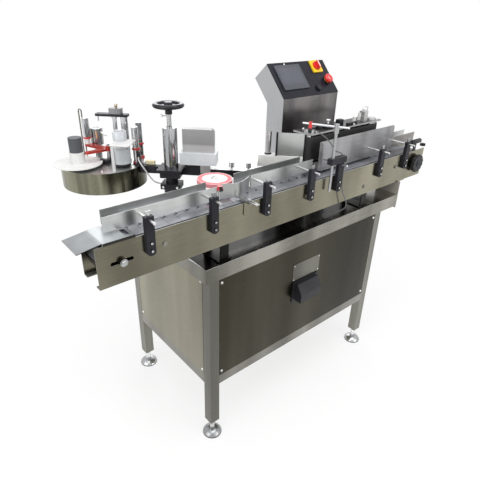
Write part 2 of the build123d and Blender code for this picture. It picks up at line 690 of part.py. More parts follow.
# Tall plate opposite the belt: folded sheet, a foam pad on the bottle side, two rods
press_left = 92.0
press_right = 556.0
press_bottom = SIDE_TOP + 7
press_top = press_bottom + 102
press_fold = 14.0
pad = 10.0
with BuildPart() as pressure_plate:
    with BuildSketch(Plane.XZ.offset(-LANE_MID_FRONT)):
        with Locations(((press_left + press_right) / 2, (press_bottom + press_top) / 2)):
            sheet_outline = Rectangle(press_right - press_left, press_top - press_bottom)
        fillet(sheet_outline.vertices().sort_by(Axis.X)[-2:].sort_by(Axis.Z)[-1], press_fold)
    extrude(amount=RAIL)
    fold_y = LANE_MID_FRONT - press_fold
    block(press_left, press_left + RAIL, fold_y, LANE_MID_FRONT - RAIL, press_bottom, press_top)
    block(press_left, press_left + 12, fold_y - RAIL, fold_y, press_bottom, press_top)
    block(press_left, press_right, fold_y, LANE_MID_FRONT - RAIL, press_bottom, press_bottom + RAIL)
    rail_rods((POST_X[4], POST_X[5]), LANE_MID_FRONT - RAIL)
    block(
        press_left + 18, press_right - 12, LANE_MID_FRONT, LANE_MID_FRONT + pad,
        press_bottom + pad, press_top - pad,
    )
write(pressure_plate.part, "pressure_plate")

outfeed_right = conveyor_right + 14
outfeed_step = press_right + 21
with BuildPart() as outfeed_rail:
    out_y = LANE_MID_FRONT + 6
    block(outfeed_step, outfeed_right, out_y - RAIL, out_y, RAIL_BOTTOM, RAIL_TOP)
    block(press_right + 2, outfeed_step, out_y - RAIL, out_y, RAIL_BOTTOM, ROD_Z + 6)
    rail_rods((POST_X[6],), out_y - RAIL)
write(outfeed_rail.part, "outfeed_rail")

# Curved guide opposite the divider wheel, on a slotted arm over an angle bracket
curve_points = ((-350.0, -193.0), (-308.0, -212.0), (-272.0, -205.0), (-236.0, LANE_MID_FRONT))
curve_ends = ((1, -0.35), (1, 0.55))
with BuildPart() as curved_guide:
    with BuildSketch(Plane.XY.offset(RAIL_BOTTOM - 4)):
        with BuildLine():
            near = Spline(*curve_points, tangents=curve_ends)
            far = Spline(*[(x, y + RAIL) for x, y in curve_points], tangents=curve_ends)
            Line(near @ 0, far @ 0)
            Line(near @ 1, far @ 1)
        make_face()
    extrude(amount=RAIL_TOP - RAIL_BOTTOM + 4)
    with BuildSketch(Plane.XY.offset(arm_z)):
        with Locations((arm_x, CONVEYOR_FRONT - 8)):
            Rectangle(POST_DEPTH, 88)
            with Locations((0, -7)):
                SlotOverall(52, 2 * (bracket + CLEAR), rotation=90, mode=Mode.SUBTRACT)
    extrude(amount=arm_thick)
write(curved_guide.part, "curved_guide")

# Rails on the rear side plate: straight strips at the infeed, and strips that step out behind the wider lanes
strip_half = 10.0
strip_low = SIDE_TOP - 33
strip_high = RAIL_BOTTOM + 22
with BuildPart() as rear_rails:
    block(-716, -380, LANE_REAR, LANE_REAR + RAIL, RAIL_BOTTOM, RAIL_TOP)
    for x in (-650, -450):
        left, right = x - strip_half, x + strip_half
        block(left, right, conveyor_rear, conveyor_rear + SHEET, strip_low, strip_high)
        block(left, right, LANE_REAR + RAIL, conveyor_rear, RAIL_BOTTOM + 8, strip_high)
    for x0, x1, y, strips in (
        (-262, 44, LANE_MID_REAR, (-180, -20)),
        (600, outfeed_right, LANE_OUT_REAR, (612, 710)),
    ):
        block(x0, x1, y, y + RAIL, RAIL_BOTTOM, RAIL_TOP)
        behind = y + RAIL
        for x in strips:
            left, right = x - strip_half, x + strip_half
            block(left, right, conveyor_rear, conveyor_rear + SHEET, strip_low, SIDE_TOP)
            block(left, right, conveyor_rear, behind + SHEET, SIDE_TOP - SHEET, SIDE_TOP)
            block(left, right, behind, behind + SHEET, SIDE_TOP - SHEET, strip_high)
write(rear_rails.part, "rear_rails")

# Wrap station: two rollers and a wide belt between a bottom and a top plate, on pillars from the table
wrap_left = BELT_X0 - 19
wrap_right = BELT_X1 + 40
wrap_front = BELT_FACE_Y + 4
wrap_top = plate_top + FRAME_PLATE
bearing_cap = (19.0, 8.0)
pillar_y = -90.0
pillar_radius = 12.5
tension_tube = (6.0, 52.0)
puck = (11.0, 12.0)
with BuildPart() as wrap_frame:
    block(wrap_left, wrap_right, wrap_front, WRAP_REAR, plate_bottom, plate_bottom + FRAME_PLATE)
    block(wrap_left, wrap_right, wrap_front, WRAP_REAR, plate_top, wrap_top)
    block(
        wrap_left + 40, wrap_right, WRAP_REAR - FRAME_PLATE, WRAP_REAR, plate_bottom + FRAME_PLATE, plate_top
    )
    for x in (BELT_X0, BELT_X1):
        rod((x, belt_y, wrap_top), *bearing_cap)
        rod((x, belt_y, plate_bottom - 1), roller_shaft + CLEAR, plate_top - plate_bottom + 40, "Z",
            Mode.SUBTRACT)
    for x in (BELT_X0 + 65, BELT_X1 - 70):
        rod((x, pillar_y, TOP_Z), pillar_radius, plate_bottom - TOP_Z)
        rod((x, pillar_y, TOP_Z), 2 * pillar_radius, FRAME_PLATE)
    block(BELT_X1 - 55, BELT_X1 - 31, belt_y - 5, belt_y + 20, wrap_top, wrap_top + 38)
    rod((BELT_X1 - 22, belt_y + 12, wrap_top), *tension_tube)
    for x in (BELT_X0 + 45, BELT_X0 + 78):
        rod((x, belt_y + 24, wrap_top), *puck)
write(wrap_frame.part, "wrap_frame")

with BuildPart() as wrap_belt:
    with BuildSketch(Plane.XY.offset(BELT_BOTTOM)):
        with Locations(((BELT_X0 + BELT_X1) / 2, belt_y)):
            SlotCenterToCenter(BELT_X1 - BELT_X0, 2 * belt_outer)
            SlotCenterToCenter(BELT_X1 - BELT_X0, 2 * belt_inner, mode=Mode.SUBTRACT)
    extrude(amount=BELT_TOP - BELT_BOTTOM)
write(wrap_belt.part, "wrap_belt")

for name, x, low in (
    ("wrap_drive_roller", BELT_X1, plate_bottom - 22),
    ("wrap_idler_roller", BELT_X0, plate_bottom - 6),
):
    with BuildPart() as roller:
        rod((x, belt_y, BELT_BOTTOM + 1), ROLLER_RADIUS, BELT_TOP - BELT_BOTTOM - 2)
        rod((x, belt_y, low), roller_shaft, plate_top + FRAME_PLATE + 10 - low)
    write(roller.part, name)

# Divider wheel: a hub and disc with a thick soft rim
with BuildPart() as divider_wheel:
    rod((divider_x, divider_y, divider_z), divider_radius, divider_thick)
    rod((divider_x, divider_y, bracket_z - 18), divider_shaft, divider_z - bracket_z + 18)
    hub_low = bracket_z + stand_sheet + CLEAR
    rod((divider_x, divider_y, hub_low), hub_radius, divider_z - hub_low)
    with BuildSketch(Plane.XY.offset(divider_z + divider_thick)):
        with Locations((divider_x, divider_y)):
            RegularPolygon(hub_nut[0], 6)
    extrude(amount=hub_nut[1])
write(divider_wheel.part, "divider_wheel")

# Bottle sensor on a slotted strip beside the second post, and the one that hangs from the stand
sensor_x = POST_X[1] + POST_WIDTH / 2
sensor_z = ROD_Z + 27
strip = (11.0, 72.0)
strip_slot = (52.0, 5.0)
with BuildPart() as bottle_sensor:
    with BuildSketch(Plane.YZ.offset(sensor_x)):
        with Locations((post_middle, ROD_Z - 4)):
            Rectangle(*strip)
            with Locations((0, 4)):
                SlotOverall(*strip_slot, rotation=90, mode=Mode.SUBTRACT)
    extrude(amount=SHEET)
    rod((sensor_x + SHEET, post_middle, sensor_z), 6, 14, "X")
    rod((sensor_x + 8, post_middle, sensor_z), 7.5, 12)
write(bottle_sensor.part, "bottle_sensor")

# Sensor stand: clamp on the fifth post, upright rod, sleeve, and a cross rod over the lane
mast_x = 76.0
mast_low = POST_BOTTOM + 14
mast_top = POST_TOP + 136
mast_radius = 5.0
cross_z = mast_top - 8
cross_radius = 4.0
cross_near = (96.0, -299.0)
cross_far = (25.0, -157.0)
hung_x = 37.0
hung_y = -181.0
hung_sensor = (6.0, 37.0)
sleeve = (8.0, 30.0)
with BuildPart() as sensor_stand:
    block(mast_x - 14, POST_X[stand_post] + 12, post_front - 10, post_front + 12, POST_TOP, POST_TOP + 21)
    rod((mast_x, post_front, mast_low), mast_radius, mast_top - mast_low)
    rod((mast_x, post_front, cross_z - 20), *sleeve)
    cross_length = sqrt((cross_far[0] - cross_near[0]) ** 2 + (cross_far[1] - cross_near[1]) ** 2)
    lie = Plane(
        origin=(cross_near[0], cross_near[1], cross_z),
        z_dir=(cross_far[0] - cross_near[0], cross_far[1] - cross_near[1], 0),
    )
    with BuildSketch(lie):
        Circle(cross_radius)
    extrude(amount=cross_length)
    rod((hung_x, hung_y, cross_z - 30), *hung_sensor)
write(sensor_stand.part, "sensor_stand")


def tube(route, radius):
    """A cord's solid: straight runs joined by the largest tangent arcs that its runs allow."""
    points = [Vector(*p) for p in route]
    radii = []
    for before, here, after in zip(points, points[1:], points[2:]):
        turn = radians((here - before).get_angle(after - here))
        run = min((here - before).length, (after - here).length)
        radii.append(0.45 * run / max(0.001, abs(sin(turn / 2) / cos(turn / 2))))
    print("cord radii", [round(r, 1) for r in radii])
    with BuildLine() as path:
        FilletPolyline(*points, radius=radii)
    with BuildPart() as cord:
        with BuildSketch(Plane(origin=points[0], z_dir=points[1] - points[0])):
            Circle(radius)
        sweep(path=path.wire())
    print("cord length", round(sum(e.length for e in path.edges()), 1))
    return cord.part


lead_radius = 2.0
lead_route = (
    (hung_x + 6.5, hung_y, 334), (54, hung_y, 334), (74, -204, 318), (90, -226, 298), (102, -240, 274),
    (116, -242, 259), (136, -244, 255), (152, -250, 238), (153, -256, 206), (151, -257, 170),
    (150, -258, 138), (154, -261, 110), (168, -266, 84), (182, -268, 58), (186, -262, 34),
    (178, -247, 20), (160, -230, 14), (138, -218, 12), (118, -213, 11), (118, -213, CLEAR),
)
write(tube([(x, y, TOP_Z + rise) for x, y, rise in lead_route], lead_radius), "sensor_lead")

# Console: a folded shell that leans forward at its top, with a black face plate on the slope
slope = radians(FACE_ANGLE)
face_top = (CONSOLE_FRONT + FACE_SLOPE * cos(slope), CONSOLE_BEND_Z + FACE_SLOPE * sin(slope))
back_top = (face_top[0] + HEAD_DEPTH * sin(slope), face_top[1] - HEAD_DEPTH * cos(slope))
knee_y = CONSOLE_FRONT + CONSOLE_DEPTH
knee_z = back_top[1] - (back_top[0] - knee_y) * sin(slope) / cos(slope)
face = Plane(
    origin=(CONSOLE_LEFT, CONSOLE_FRONT, CONSOLE_BEND_Z), x_dir=(1, 0, 0), z_dir=(0, -sin(slope), cos(slope))
)
face_holes = (
    (STOP_U, STOP_V, STOP_HOLE), (BUTTON_U, BUTTON_V, BUTTON_HOLE), (SWITCH_U, SWITCH_V, SWITCH_HOLE)
)
with BuildPart() as console_shell:
    with BuildSketch(Plane.YZ.offset(CONSOLE_LEFT)):
        with BuildLine():
            Polyline(
                (CONSOLE_FRONT, TOP_Z), (CONSOLE_FRONT, CONSOLE_BEND_Z), face_top, back_top, (knee_y, knee_z),
                (knee_y, TOP_Z), close=True,
            )
        make_face()
    extrude(amount=CONSOLE_WIDTH)
    offset(amount=-CONSOLE_WALL, openings=faces().sort_by(Axis.Z)[0])
    with BuildSketch(face.offset(-FACE_HOLE_DEPTH)):
        for u, v, r in face_holes:
            with Locations((u, v)):
                Circle(r)
    extrude(amount=FACE_HOLE_DEPTH + SHEET, mode=Mode.SUBTRACT)
write(console_shell.part, "console_shell")

stop_ring = 17.0
button_ring = 14.0
button_cap = 11.0
ring_high = 4.0
with BuildPart() as console_face:
    with BuildSketch(face):
        with Locations((CONSOLE_WIDTH / 2, FACE_SLOPE / 2)):
            Rectangle(CONSOLE_WIDTH, FACE_SLOPE)
        for u, v, r in face_holes:
            with Locations((u, v)):
                Circle(r, mode=Mode.SUBTRACT)
    extrude(amount=FACE_THICK)
    with BuildSketch(face.offset(FACE_THICK)):
        with Locations((STOP_U, STOP_V)):
            Circle(stop_ring)
            Circle(STOP_HOLE, mode=Mode.SUBTRACT)
        with Locations((BUTTON_U, BUTTON_V)):
            Circle(button_ring)
            Circle(button_cap + CLEAR, mode=Mode.SUBTRACT)
    extrude(amount=ring_high)
write(console_face.part, "console_face")

screen_thick = 5.0
screen_recess = 0.8
with BuildPart() as touch_screen:
    with BuildSketch(face.offset(FACE_THICK)):
        with Locations((SCREEN_U, SCREEN_V)):
            RectangleRounded(SCREEN_WIDTH, SCREEN_HEIGHT, screen_thick - 1)
    extrude(amount=screen_thick)
    with BuildSketch(face.offset(FACE_THICK + screen_thick - screen_recess)):
        with Locations((SCREEN_U, SCREEN_V + 4)):
            Rectangle(SCREEN_WIDTH - 22, SCREEN_HEIGHT - 30)
    extrude(amount=2 * screen_recess, mode=Mode.SUBTRACT)
write(touch_screen.part, "touch_screen")

switch_thick = 6.0
with BuildPart() as switch_plate:
    with BuildSketch(face.offset(FACE_THICK)):
        with Locations((SWITCH_U, SWITCH_V)):
            RectangleRounded(SWITCH_SIZE, SWITCH_SIZE, 4)
            Circle(SWITCH_HOLE, mode=Mode.SUBTRACT)
    extrude(amount=switch_thick)
write(switch_plate.part, "switch_plate")

dial = (18.0, 5.0)
dial_grip = (33.0, 10.0, 13.0)
dial_low = FACE_THICK + switch_thick + CLEAR
with BuildPart() as switch_knob:
    with BuildSketch(face.offset(FACE_THICK - switch_thick)):
        with Locations((SWITCH_U, SWITCH_V)):
            Circle(SWITCH_HOLE - CLEAR)
    extrude(amount=2 * switch_thick + CLEAR)
    with BuildSketch(face.offset(dial_low)):
        with Locations((SWITCH_U, SWITCH_V)):
            Circle(dial[0])
    extrude(amount=dial[1])
    with BuildSketch(face.offset(dial_low + dial[1])):
        with Locations((SWITCH_U, SWITCH_V)):
            SlotOverall(dial_grip[0], dial_grip[1], rotation=90)
    extrude(amount=dial_grip[2])
write(switch_knob.part, "switch_knob")

stop_travel = 6.0
mushroom = (19.0, 11.0)
mushroom_edge = 5.0
with BuildPart() as stop_button:
    with BuildSketch(face.offset(-3)):
        with Locations((STOP_U, STOP_V)):
            Circle(STOP_HOLE - 1)
    extrude(amount=FACE_THICK + 20)
    with BuildSketch(face.offset(FACE_THICK + ring_high + stop_travel + CLEAR)):
        with Locations((STOP_U, STOP_V)):
            Circle(mushroom[0])
    extrude(amount=mushroom[1])
    fillet(faces().sort_by(Axis((0, 0, 0), face.z_dir))[-1].edges(), mushroom_edge)
write(stop_button.part, "stop_button")

press_travel = 3.0
with BuildPart() as start_button:
    with BuildSketch(face.offset(-2)):
        with Locations((BUTTON_U, BUTTON_V)):
            Circle(BUTTON_HOLE - 1)
    extrude(amount=FACE_THICK + press_travel + 3)
    with BuildSketch(face.offset(FACE_THICK + press_travel + CLEAR)):
        with Locations((BUTTON_U, BUTTON_V)):
            Circle(button_cap)
    extrude(amount=FACE_THICK + 1)
write(start_button.part, "start_button")

# Lift: a stand on the table with a clamp block and a fixed inner post that the column slides on
screw_radius = 7.0
post_radius = COLUMN_BORE - CLEAR
clamp_z = DECK_Z - 65
clamp_high = 18.0
inner_top = COLUMN_TOP - 25
nut_depth = 20.0
flange_half = 62.0
flange_thick = 8.0
stand_radius = 28.0
clamp_half = 34.0
clamp_front, clamp_back = -30.0, 24.0
with BuildPart(head) as lift_base:
    block(-flange_half, flange_half, -flange_half, flange_half, TOP_Z, TOP_Z + flange_thick)
    rod((0, 0, TOP_Z + flange_thick), stand_radius, clamp_z - TOP_Z - flange_thick)
    block(-clamp_half, clamp_half, clamp_front, clamp_back, clamp_z, clamp_z + clamp_high)
    rod((0, 0, clamp_z + clamp_high), post_radius, inner_top - clamp_z - clamp_high)
    rod((0, 0, inner_top - nut_depth - LIFT), screw_radius + 2, LIFT, "Z", Mode.SUBTRACT)
    rod((0, 0, inner_top - nut_depth), screw_radius + CLEAR, nut_depth + 1, "Z", Mode.SUBTRACT)
write(lift_base.part, "lift_base")

cap = 6.0
carriage_half = 42.0
beam_z = DECK_Z - BEAM_HEIGHT
beam_front = BEAM_T - BEAM_WIDTH / 2
beam_start = DRUM_S + DRUM_RADIUS - 34
with BuildPart(head) as carriage:
    block(-carriage_half, carriage_half, -carriage_half, carriage_half, DECK_Z, DECK_Z + cap)
    rod((0, 0, DECK_Z + cap), COLUMN_RADIUS, COLUMN_TOP - DECK_Z - cap)
    rod((0, 0, DECK_Z - 1), COLUMN_BORE, COLUMN_TOP - cap - DECK_Z + 1, "Z", Mode.SUBTRACT)
    rod((0, 0, COLUMN_TOP - cap - 1), screw_radius + CLEAR, cap + 2, "Z", Mode.SUBTRACT)
write(carriage.part, "carriage")

knob_s = (202.0, 259.0)
knob_neck = (4.0, 8.0)
knob_grip = (9.0, 18.0)
with BuildPart(head) as head_beam:
    block(-clamp_half, clamp_half, clamp_front, beam_front, beam_z, DECK_Z)
    rod((0, 0, beam_z - 1), COLUMN_BORE, BEAM_HEIGHT + 2, "Z", Mode.SUBTRACT)
    block(beam_start, BEAM_END, beam_front, beam_front + BEAM_WIDTH, beam_z, DECK_Z)
    rod((0, 0, beam_z - 1), COLUMN_BORE, BEAM_HEIGHT + 2, "Z", Mode.SUBTRACT)
    for s in knob_s:
        rod((s, BEAM_T, DECK_Z), *knob_neck)
        rod((s, BEAM_T, DECK_Z + knob_neck[1]), *knob_grip)
write(head_beam.part, "head_beam")

# Round housing under the label path: deck, wall and the motor that hangs from the deck
deck = 6.0
reel_s, reel_t = -316.8, -18.4
drive_s, drive_t = -174.0, 12.0
near_s, near_t = -132.0, 44.0
far_s, far_t = -138.0, 111.0
spindle = (8.0, 85.0)
axle = (4.0, 115.0)
drive_motor = (30.0, 56.0)
socket = 60.0
arm_plate_z = DECK_Z + 83
with BuildPart(head) as head_drum:
    rod((DRUM_S, DRUM_T, DECK_Z - DRUM_HEIGHT), DRUM_RADIUS, DRUM_HEIGHT)
    rod((DRUM_S, DRUM_T, DECK_Z - DRUM_HEIGHT - 1), DRUM_RADIUS - SHEET, DRUM_HEIGHT - deck + 1, "Z",
        Mode.SUBTRACT)
    block(
        beam_start, DRUM_S + DRUM_RADIUS - 5, beam_front, beam_front + BEAM_WIDTH, DECK_Z - 66, DECK_Z - deck
    )
    with Locations((beam_start, BEAM_T, DECK_Z)):
        Box(socket, BEAM_WIDTH, BEAM_HEIGHT, align=(Align.MIN, Align.CENTER, Align.MAX), mode=Mode.SUBTRACT)
    rod((drive_s, drive_t, DECK_Z - deck - drive_motor[1]), *drive_motor)
    rod((drive_s, drive_t, DECK_Z - 21), spindle[0] + CLEAR, 25, "Z", Mode.SUBTRACT)
    rod((reel_s, reel_t, DECK_Z), *spindle)
    for s, t in ((near_s, near_t), (far_s, far_t)):
        rod((s, t, DECK_Z), *axle)
write(head_drum.part, "head_drum")

with BuildPart(head) as label_reel:
    low = DECK_Z + CLEAR
    for radius, height in ((14, 8), (80, 2.5), (24, 38), (22, 48)):
        rod((reel_s, reel_t, low), radius, height)
        low += height
    rod((reel_s, reel_t, DECK_Z), spindle[0] + CLEAR, spindle[1] + 2, "Z", Mode.SUBTRACT)
write(label_reel.part, "label_reel")

with BuildPart(head) as drive_roller:
    rod((drive_s, drive_t, DECK_Z - 20), spindle[0], arm_plate_z + 6 - DECK_Z + 20)
    rod((drive_s, drive_t, DECK_Z + 2), 29, 8)
    rod((drive_s, drive_t, DECK_Z + 10), 31, 50)
write(drive_roller.part, "drive_roller")

collar = (14.0, 6.0)
collar_rise = 48.0
for name, s, t in (("guide_roller_near", near_s, near_t), ("guide_roller_far", far_s, far_t)):
    with BuildPart(head) as roller:
        rod((s, t, DECK_Z + CLEAR), *collar)
        rod((s, t, DECK_Z + CLEAR + collar[1]), 11, axle[1] + 4)
        rod((s, t, DECK_Z + collar_rise), *collar)
        rod((s, t, DECK_Z), axle[0] + CLEAR, axle[1] + 3, "Z", Mode.SUBTRACT)
    write(roller.part, name)

# Columns with a bridge, the post and plate over the drive roller, the dancer's pivot and a thin rod
pivot_s, pivot_t = -228.0, 40.0
pivot_radius = 5.0
dancer_z = DECK_Z + 41
cup_z = arm_plate_z + 4
cup_depth = 30.0
bridge_z = DECK_Z + 153
bridge_thick = 8.0
block_high = 18.0
columns = ((-204.0, 64.0, 7.5), (-173.0, 69.0, 12.0))
damper_s, damper_t = -294.0, 112.0
damper_low = 40.0
with BuildPart(head) as head_fittings:
    for s, t, radius in columns:
        rod((s, t, DECK_Z), radius, bridge_z - DECK_Z)
    block(-268, -156, 53, 81, bridge_z, bridge_z + bridge_thick)
    block(-222, -174, 55, 79, bridge_z + bridge_thick, bridge_z + bridge_thick + block_high)
    rod((-196, 67, bridge_z + bridge_thick + block_high), 5, 16)
    rod((-262, 67, bridge_z - 18), 2.5, 18)
    block(-190, -174, -66, -59, DECK_Z, arm_plate_z)
    block(-205, -121, -68, 29, arm_plate_z, cup_z)
    rod((drive_s, drive_t, cup_z), 23, cup_depth)
    rod((drive_s, drive_t, cup_z + 4), 18, cup_depth, "Z", Mode.SUBTRACT)
    rod((drive_s, drive_t, arm_plate_z - 1), spindle[0] + CLEAR, 10, "Z", Mode.SUBTRACT)
    rod((pivot_s, pivot_t, DECK_Z), pivot_radius + 3, dancer_z - DECK_Z - CLEAR)
    rod((pivot_s, pivot_t, dancer_z - 2), pivot_radius, 26)
    rod((-340, 102, DECK_Z), 3, 165)
    rod((damper_s, damper_t, DECK_Z), 12, damper_low)
    rod((damper_s, damper_t, DECK_Z + damper_low), 22, 60)
    block(-122, -112, 20, 32, DECK_Z, DECK_Z + 42)
write(head_fittings.part, "head_fittings")

roller_s, roller_t = -317.0, 81.0
arm_high = 8.0
roller_pin = (4.0, 84.0)
roller_low = dancer_z + arm_high
with BuildPart(head) as dancer_arm:
    with BuildSketch(head.offset(dancer_z)):
        for s, t, r in ((roller_s, roller_t, 11), (-281.0, -14.0, 8)):
            dx, dy = s - pivot_s, t - pivot_t
            with Locations(Location(((s + pivot_s) / 2, (t + pivot_t) / 2), degrees(atan2(dy, dx)))):
                SlotCenterToCenter(sqrt(dx * dx + dy * dy), 2 * r)
        with Locations((pivot_s, pivot_t)):
            Circle(13)
            Circle(pivot_radius + CLEAR, mode=Mode.SUBTRACT)
    extrude(amount=arm_high)
    rod((roller_s, roller_t, roller_low), *roller_pin)
    with BuildSketch(head.offset(roller_low)):
        with Locations((pivot_s, pivot_t)):
            Circle(2 * pivot_radius)
            Circle(pivot_radius + CLEAR, mode=Mode.SUBTRACT)
    extrude(amount=arm_high)
write(dancer_arm.part, "dancer_arm")

with BuildPart(head) as dancer_roller:
    rod((roller_s, roller_t, roller_low + CLEAR), 9, 20)
    rod((roller_s, roller_t, roller_low + 20), 14, 5)
    rod((roller_s, roller_t, roller_low + 25), 12.5, 66)
    rod((roller_s, roller_t, dancer_z), roller_pin[0] + CLEAR, roller_pin[1] + 11, "Z", Mode.SUBTRACT)
write(dancer_roller.part, "dancer_roller")

# Coder box over the beam
coder_foot = DECK_Z + 17
coder_step = DECK_Z + 56
coder_top = DECK_Z + 133
with BuildPart(head) as coder_box:
    block(38, 143, 12, 42, coder_step, coder_top)
    fillet(edges().sort_by(Axis(head.origin + Vector(0, 0, coder_top), head.x_dir + Vector(0, 0, 1)))[-1], 14)
    block(30, 152, -4, 54, coder_foot, coder_step)
    block(45, 95, beam_front, beam_front + BEAM_WIDTH, DECK_Z, coder_foot)
    block(97, 131, beam_front - 4, beam_front, DECK_Z - 15, coder_foot)
write(coder_box.part, "coder_box")

# Peel unit: an arm from the beam to a pale base with the peel plate, and its roller
peel_s0, peel_s1 = 354.0, 447.0
peel_t = 161.0
peel_base = DECK_Z - 27
peel_low, peel_high = DECK_Z + 15, DECK_Z + 99
peel_rear = 195.0
peel_roller_s, peel_roller_t = 320.0, 177.0
with BuildPart(head) as peel_unit:
    block(BEAM_END - 45, BEAM_END, beam_front + BEAM_WIDTH, peel_rear, DECK_Z - 20, DECK_Z - 5)
    block(BEAM_END, 425, peel_t - 3, peel_rear, peel_base, peel_low)
    block(312, peel_s1, peel_t - 6, peel_t, peel_base, peel_low)
    with BuildSketch(head.offset(peel_low)):
        with BuildLine():
            Polyline(
                (peel_s0, peel_t - 3), (peel_s0, peel_t), (peel_s1 - 6, peel_t), (peel_s1, peel_t - 3),
                close=True,
            )
        make_face()
    extrude(amount=peel_high - peel_low)
    block(peel_s0 - 7, peel_s0, peel_t - 6, peel_t + 4, peel_low, peel_high)
    rod((peel_roller_s, peel_roller_t, peel_low), axle[0], 76)
write(peel_unit.part, "peel_unit")

with BuildPart(head) as peel_roller:
    rod((peel_roller_s, peel_roller_t, peel_low + CLEAR), 12.5, 6)
    rod((peel_roller_s, peel_roller_t, peel_low + 6), 10.5, 78)
    rod((peel_roller_s, peel_roller_t, peel_low), axle[0] + CLEAR, 80, "Z", Mode.SUBTRACT)
write(peel_roller.part, "peel_roller")

# Handwheel with its lifting screw, still in the nut when the head is at its highest
screw_low = inner_top - LIFT - nut_depth / 2
with BuildPart() as handwheel:
    with BuildSketch(Plane(origin=(HEAD_X, HEAD_Y, 0), x_dir=(1, 0, 0), z_dir=(0, -1, 0))):
        with BuildLine():
            Polyline(
                (0, screw_low), (screw_radius, screw_low), (screw_radius, COLUMN_TOP + CLEAR),
                (10, COLUMN_TOP + CLEAR), (10, COLUMN_TOP + 4), (7.5, COLUMN_TOP + 6), (7.5, COLUMN_TOP + 42),
                (11.5, COLUMN_TOP + 42), (11.5, COLUMN_TOP + 54), (21, COLUMN_TOP + 58),
                (24, COLUMN_TOP + 68), (38, COLUMN_TOP + 66), (45, COLUMN_TOP + 63),
            )
            ThreePointArc((45, COLUMN_TOP + 63), (51, COLUMN_TOP + 70), (45, COLUMN_TOP + 77))
            Polyline(
                (45, COLUMN_TOP + 77), (37, COLUMN_TOP + 76), (34, COLUMN_TOP + 70), (14, COLUMN_TOP + 72),
                (12, COLUMN_TOP + 80), (0, COLUMN_TOP + 80), (0, screw_low),
            )
        make_face()
    revolve(axis=Axis((HEAD_X, HEAD_Y, 0), (0, 0, 1)))
write(handwheel.part, "handwheel")

# The lead that runs straight down from the label head behind the far rail
head_lead_radius = 2.5
head_lead_route = (
    (-117, 19.7, 27), (-117, 9, 27), (-108, 4, 11), (-74, 2, -40), (-58, 0, -54), (-34.4, 0, -56)
)
head_lead_path = [tuple(head.from_local_coords((s, t, DECK_Z + rise))) for s, t, rise in head_lead_route]
write(tube(head_lead_path, head_lead_radius), "head_lead")
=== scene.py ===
"""Looks of the bottle labelling machine: metal finishes, plastics, small fittings, camera and studio.

Metres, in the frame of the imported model: X towards the outfeed, Y to the rear, Z up, floor at zero.
"""
import math

import bmesh
import bpy
import numpy as np
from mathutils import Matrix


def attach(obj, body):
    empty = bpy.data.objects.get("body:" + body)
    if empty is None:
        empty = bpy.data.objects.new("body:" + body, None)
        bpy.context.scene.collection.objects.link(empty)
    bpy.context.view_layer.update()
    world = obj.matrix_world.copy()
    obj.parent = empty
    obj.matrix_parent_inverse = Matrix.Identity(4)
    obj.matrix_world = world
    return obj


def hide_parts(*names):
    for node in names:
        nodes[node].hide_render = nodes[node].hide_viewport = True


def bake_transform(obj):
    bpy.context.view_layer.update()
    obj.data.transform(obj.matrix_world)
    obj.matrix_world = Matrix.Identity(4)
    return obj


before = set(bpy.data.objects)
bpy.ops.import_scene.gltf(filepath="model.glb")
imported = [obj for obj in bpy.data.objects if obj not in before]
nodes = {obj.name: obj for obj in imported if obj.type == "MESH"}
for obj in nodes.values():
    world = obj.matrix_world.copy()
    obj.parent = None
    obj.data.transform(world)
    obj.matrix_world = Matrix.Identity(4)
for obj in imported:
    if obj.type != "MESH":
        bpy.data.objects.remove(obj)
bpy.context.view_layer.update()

MM = 0.001

# Levels and faces that small pieces stand on, upright axes and the slats' pitch, in millimetres
TABLE = 738
DECK = 945
WRAP_TOP = 1040
CHAIN_MARKS = 913.9
POST_FACE = -262
PANEL_FACE = -259
SIDE_FRONT = -248
SIDE_REAR = -150
PLATE_FACE = -261.2
DIVIDER = (-322, -120)
LIFT = (-360, 72)
STAND = (76, -262)
SENSOR = (37, -181)
SLAT_PITCH = 38.1

# Camera, where the photograph was taken from
camera_data = bpy.data.cameras.new("camera")
camera_data.lens = 32.96
camera_data.sensor_width = 36.0
camera_data.clip_start = 0.05
camera = bpy.data.objects.new("camera", camera_data)
camera.location = (-1.1091, -1.1671, 1.4310)
camera.rotation_euler = [math.radians(a) for a in (62.199, -1.296, -39.940)]
bpy.context.scene.collection.objects.link(camera)
bpy.context.scene.camera = camera
bpy.context.scene.view_settings.view_transform = "Standard"

# The label head's own axes: s along the beam towards the peel end, t across to the rear
HEAD_PLACE = (-0.360, 0.072)
HEAD_TURN = math.radians(-45)


def head_point(s, t, z):
    """A point given in the head's millimetres, in the model's metres."""
    c, n = math.cos(HEAD_TURN), math.sin(HEAD_TURN)
    return (HEAD_PLACE[0] + (s * c - t * n) * MM, HEAD_PLACE[1] + (s * n + t * c) * MM, z * MM)


# Cords: their routes' points, in millimetres, with the same rise over the table or the deck as the solid ones
def nurbs(name, route, radius):
    """A smooth line through the air: an open NURBS spline with the route as its control points.

    The points carry the radius, since a curve's bound box grows by what they carry.
    """
    curve = bpy.data.curves.new(name, "CURVE")
    curve.dimensions = "3D"
    curve.resolution_u = 12
    curve.bevel_depth = 1.0
    curve.bevel_resolution = 4
    curve.use_fill_caps = True
    spline = curve.splines.new("NURBS")
    spline.points.add(len(route) - 1)
    for point, place in zip(spline.points, route):
        point.co = (*(v * MM for v in place), 1.0)
        point.radius = radius * MM
    spline.order_u = 3
    spline.use_endpoint_u = True
    made = bpy.data.objects.new(name, curve)
    bpy.context.scene.collection.objects.link(made)
    return made


